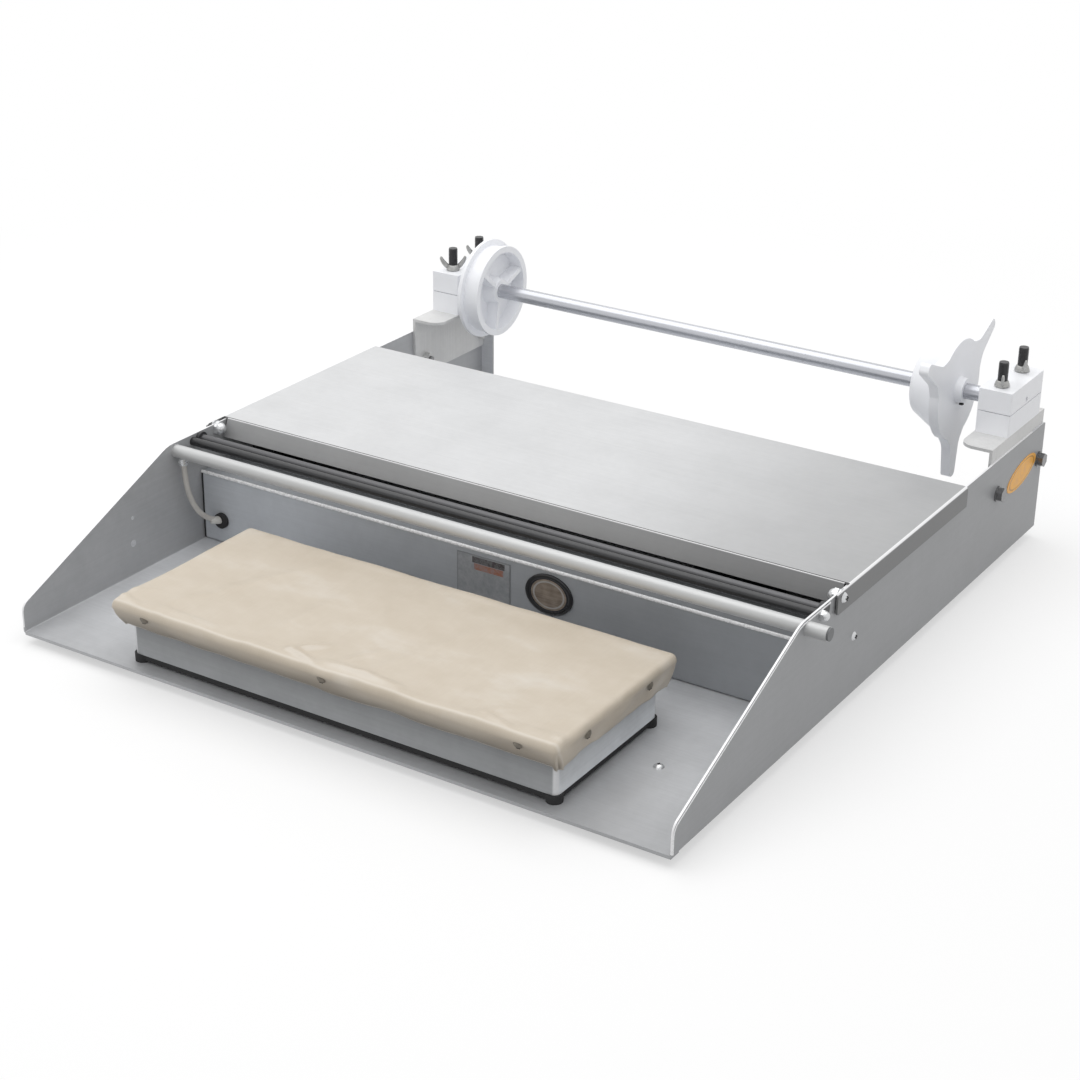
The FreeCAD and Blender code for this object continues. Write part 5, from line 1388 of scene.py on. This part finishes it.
class WRAPPER_OT_marks(bpy.types.Operator):
    """Puts ticks round the thermostat's knob and marks on the knob and the rocker"""
    bl_idname = "wrapper.marks"
    bl_label = "Control marks"

    left_wall = -0.280

    def surface_at(self, node, low, y, z):
        """Place and normal where a ray along +X meets a node."""
        place, normal, _, _ = surface_tree(node).ray_cast(Vector((low.x - 0.01, y, z)), X_WAY)
        return place, normal

    def execute(self, context):
        settings = context.scene.wrapper.controls
        ink = plain_finish("white_ink", (0.80, 0.80, 0.78), 0.5)
        dark_ink = plain_finish("dark_ink", (0.03, 0.03, 0.032), 0.5)
        low, high, middle = box_of("thermostat_knob")
        reach = settings.tick_radius + settings.tick_length / 2.0
        places = []
        for step in range(settings.tick_count):
            angle = math.radians(90.0 + 270.0 * step / (settings.tick_count - 1))
            way = Vector((0.0, math.cos(angle), math.sin(angle)))
            places.append((Vector((self.left_wall, middle.y, middle.z)) + way * reach, way))
        grown("dial_ticks", bar_growth(dark_ink), places,
              {"Length": settings.tick_length, "Width": 0.5 * MM}, "base")
        place, _ = self.surface_at("thermostat_knob", low, middle.y,
                                   middle.z + (high.z - low.z) * 0.33)
        grown("knob_pointer", bar_growth(ink), [(place, Z_WAY)],
              {"Length": 7.0 * MM, "Width": 0.7 * MM}, "knob")
        low, high, middle = box_of("power_rocker")
        quarter = (high.z - low.z) * 0.25
        place, normal = self.surface_at("power_rocker", low, middle.y, middle.z + quarter)
        up = (Z_WAY - normal * Z_WAY.dot(normal)).normalized()
        grown("rocker_on_mark", bar_growth(ink), [(place, up)],
              {"Length": settings.mark_height, "Width": 0.5 * MM}, "rocker")
        place, normal = self.surface_at("power_rocker", low, middle.y, middle.z - quarter)
        grown("rocker_off_mark", thread_growth(ink), [(place, normal)],
              {"Turns": 1, "Pitch": 1.0 * MM, "Radius": settings.mark_height / 2.0,
               "Bulge": 0.3 * MM}, "rocker")
        return {"FINISHED"}


class WRAPPER_OT_weld_spots(bpy.types.Operator):
    """Sets the small spot welds on the side walls"""
    bl_idname = "wrapper.weld_spots"
    bl_label = "Weld spots"

    def execute(self, context):
        finish = plain_finish("weld_spot", (0.62, 0.63, 0.65), 0.35, 0.4, 0.1, 400.0)
        tree = dome_growth(finish)
        wall = 0.2785
        grown("weld_spots", tree,
              [(Vector((-wall, -0.1918, 0.0575)), X_WAY),
               (Vector((wall, -0.1918, 0.0575)), -X_WAY)],
              {"Radius": 1.7 * MM, "Height": 0.35 * MM}, "base")
        grown("rub_spots", tree,
              [(Vector((-wall, -0.1928, 0.0360)), X_WAY)],
              {"Radius": 3.0 * MM, "Height": 0.08 * MM}, "base")
        return {"FINISHED"}


class WRAPPER_PT_looks(bpy.types.Panel):
    """Lists the pieces of the film wrapper"""
    bl_idname = "WRAPPER_PT_looks"
    bl_label = "Film wrapper"
    bl_space_type = "VIEW_3D"
    bl_region_type = "UI"
    bl_category = "Film Wrapper"

    def draw(self, context):
        for operator in OPERATORS:
            self.layout.operator(operator.bl_idname)


SETTINGS = (StageSettings, SheetSettings, ClothSettings, LeadSettings, FastenerSettings,
            PlasticSettings, BadgeSettings, ControlSettings, WrapperSettings)
OPERATORS = (WRAPPER_OT_camera, WRAPPER_OT_lead, WRAPPER_OT_stage, WRAPPER_OT_sheets,
             WRAPPER_OT_bare_edge_highlights, WRAPPER_OT_rods, WRAPPER_OT_plastics, WRAPPER_OT_cloth,
             WRAPPER_OT_recesses, WRAPPER_OT_threads, WRAPPER_OT_wing_nuts, WRAPPER_OT_badges,
             WRAPPER_OT_marks, WRAPPER_OT_weld_spots)


def register():
    for each in (*SETTINGS, *OPERATORS, WRAPPER_PT_looks):
        bpy.utils.register_class(each)
    bpy.types.Scene.wrapper = PointerProperty(type=WrapperSettings, name="Film wrapper",
                                              description="Sizes and colours of the wrapper")


def unregister():
    del bpy.types.Scene.wrapper
    for each in reversed((*SETTINGS, *OPERATORS, WRAPPER_PT_looks)):
        bpy.utils.unregister_class(each)


def main():
    register()
    for operator in OPERATORS:
        group, name = operator.bl_idname.split(".")
        getattr(getattr(bpy.ops, group), name)()


if __name__ == "__main__":
    main()
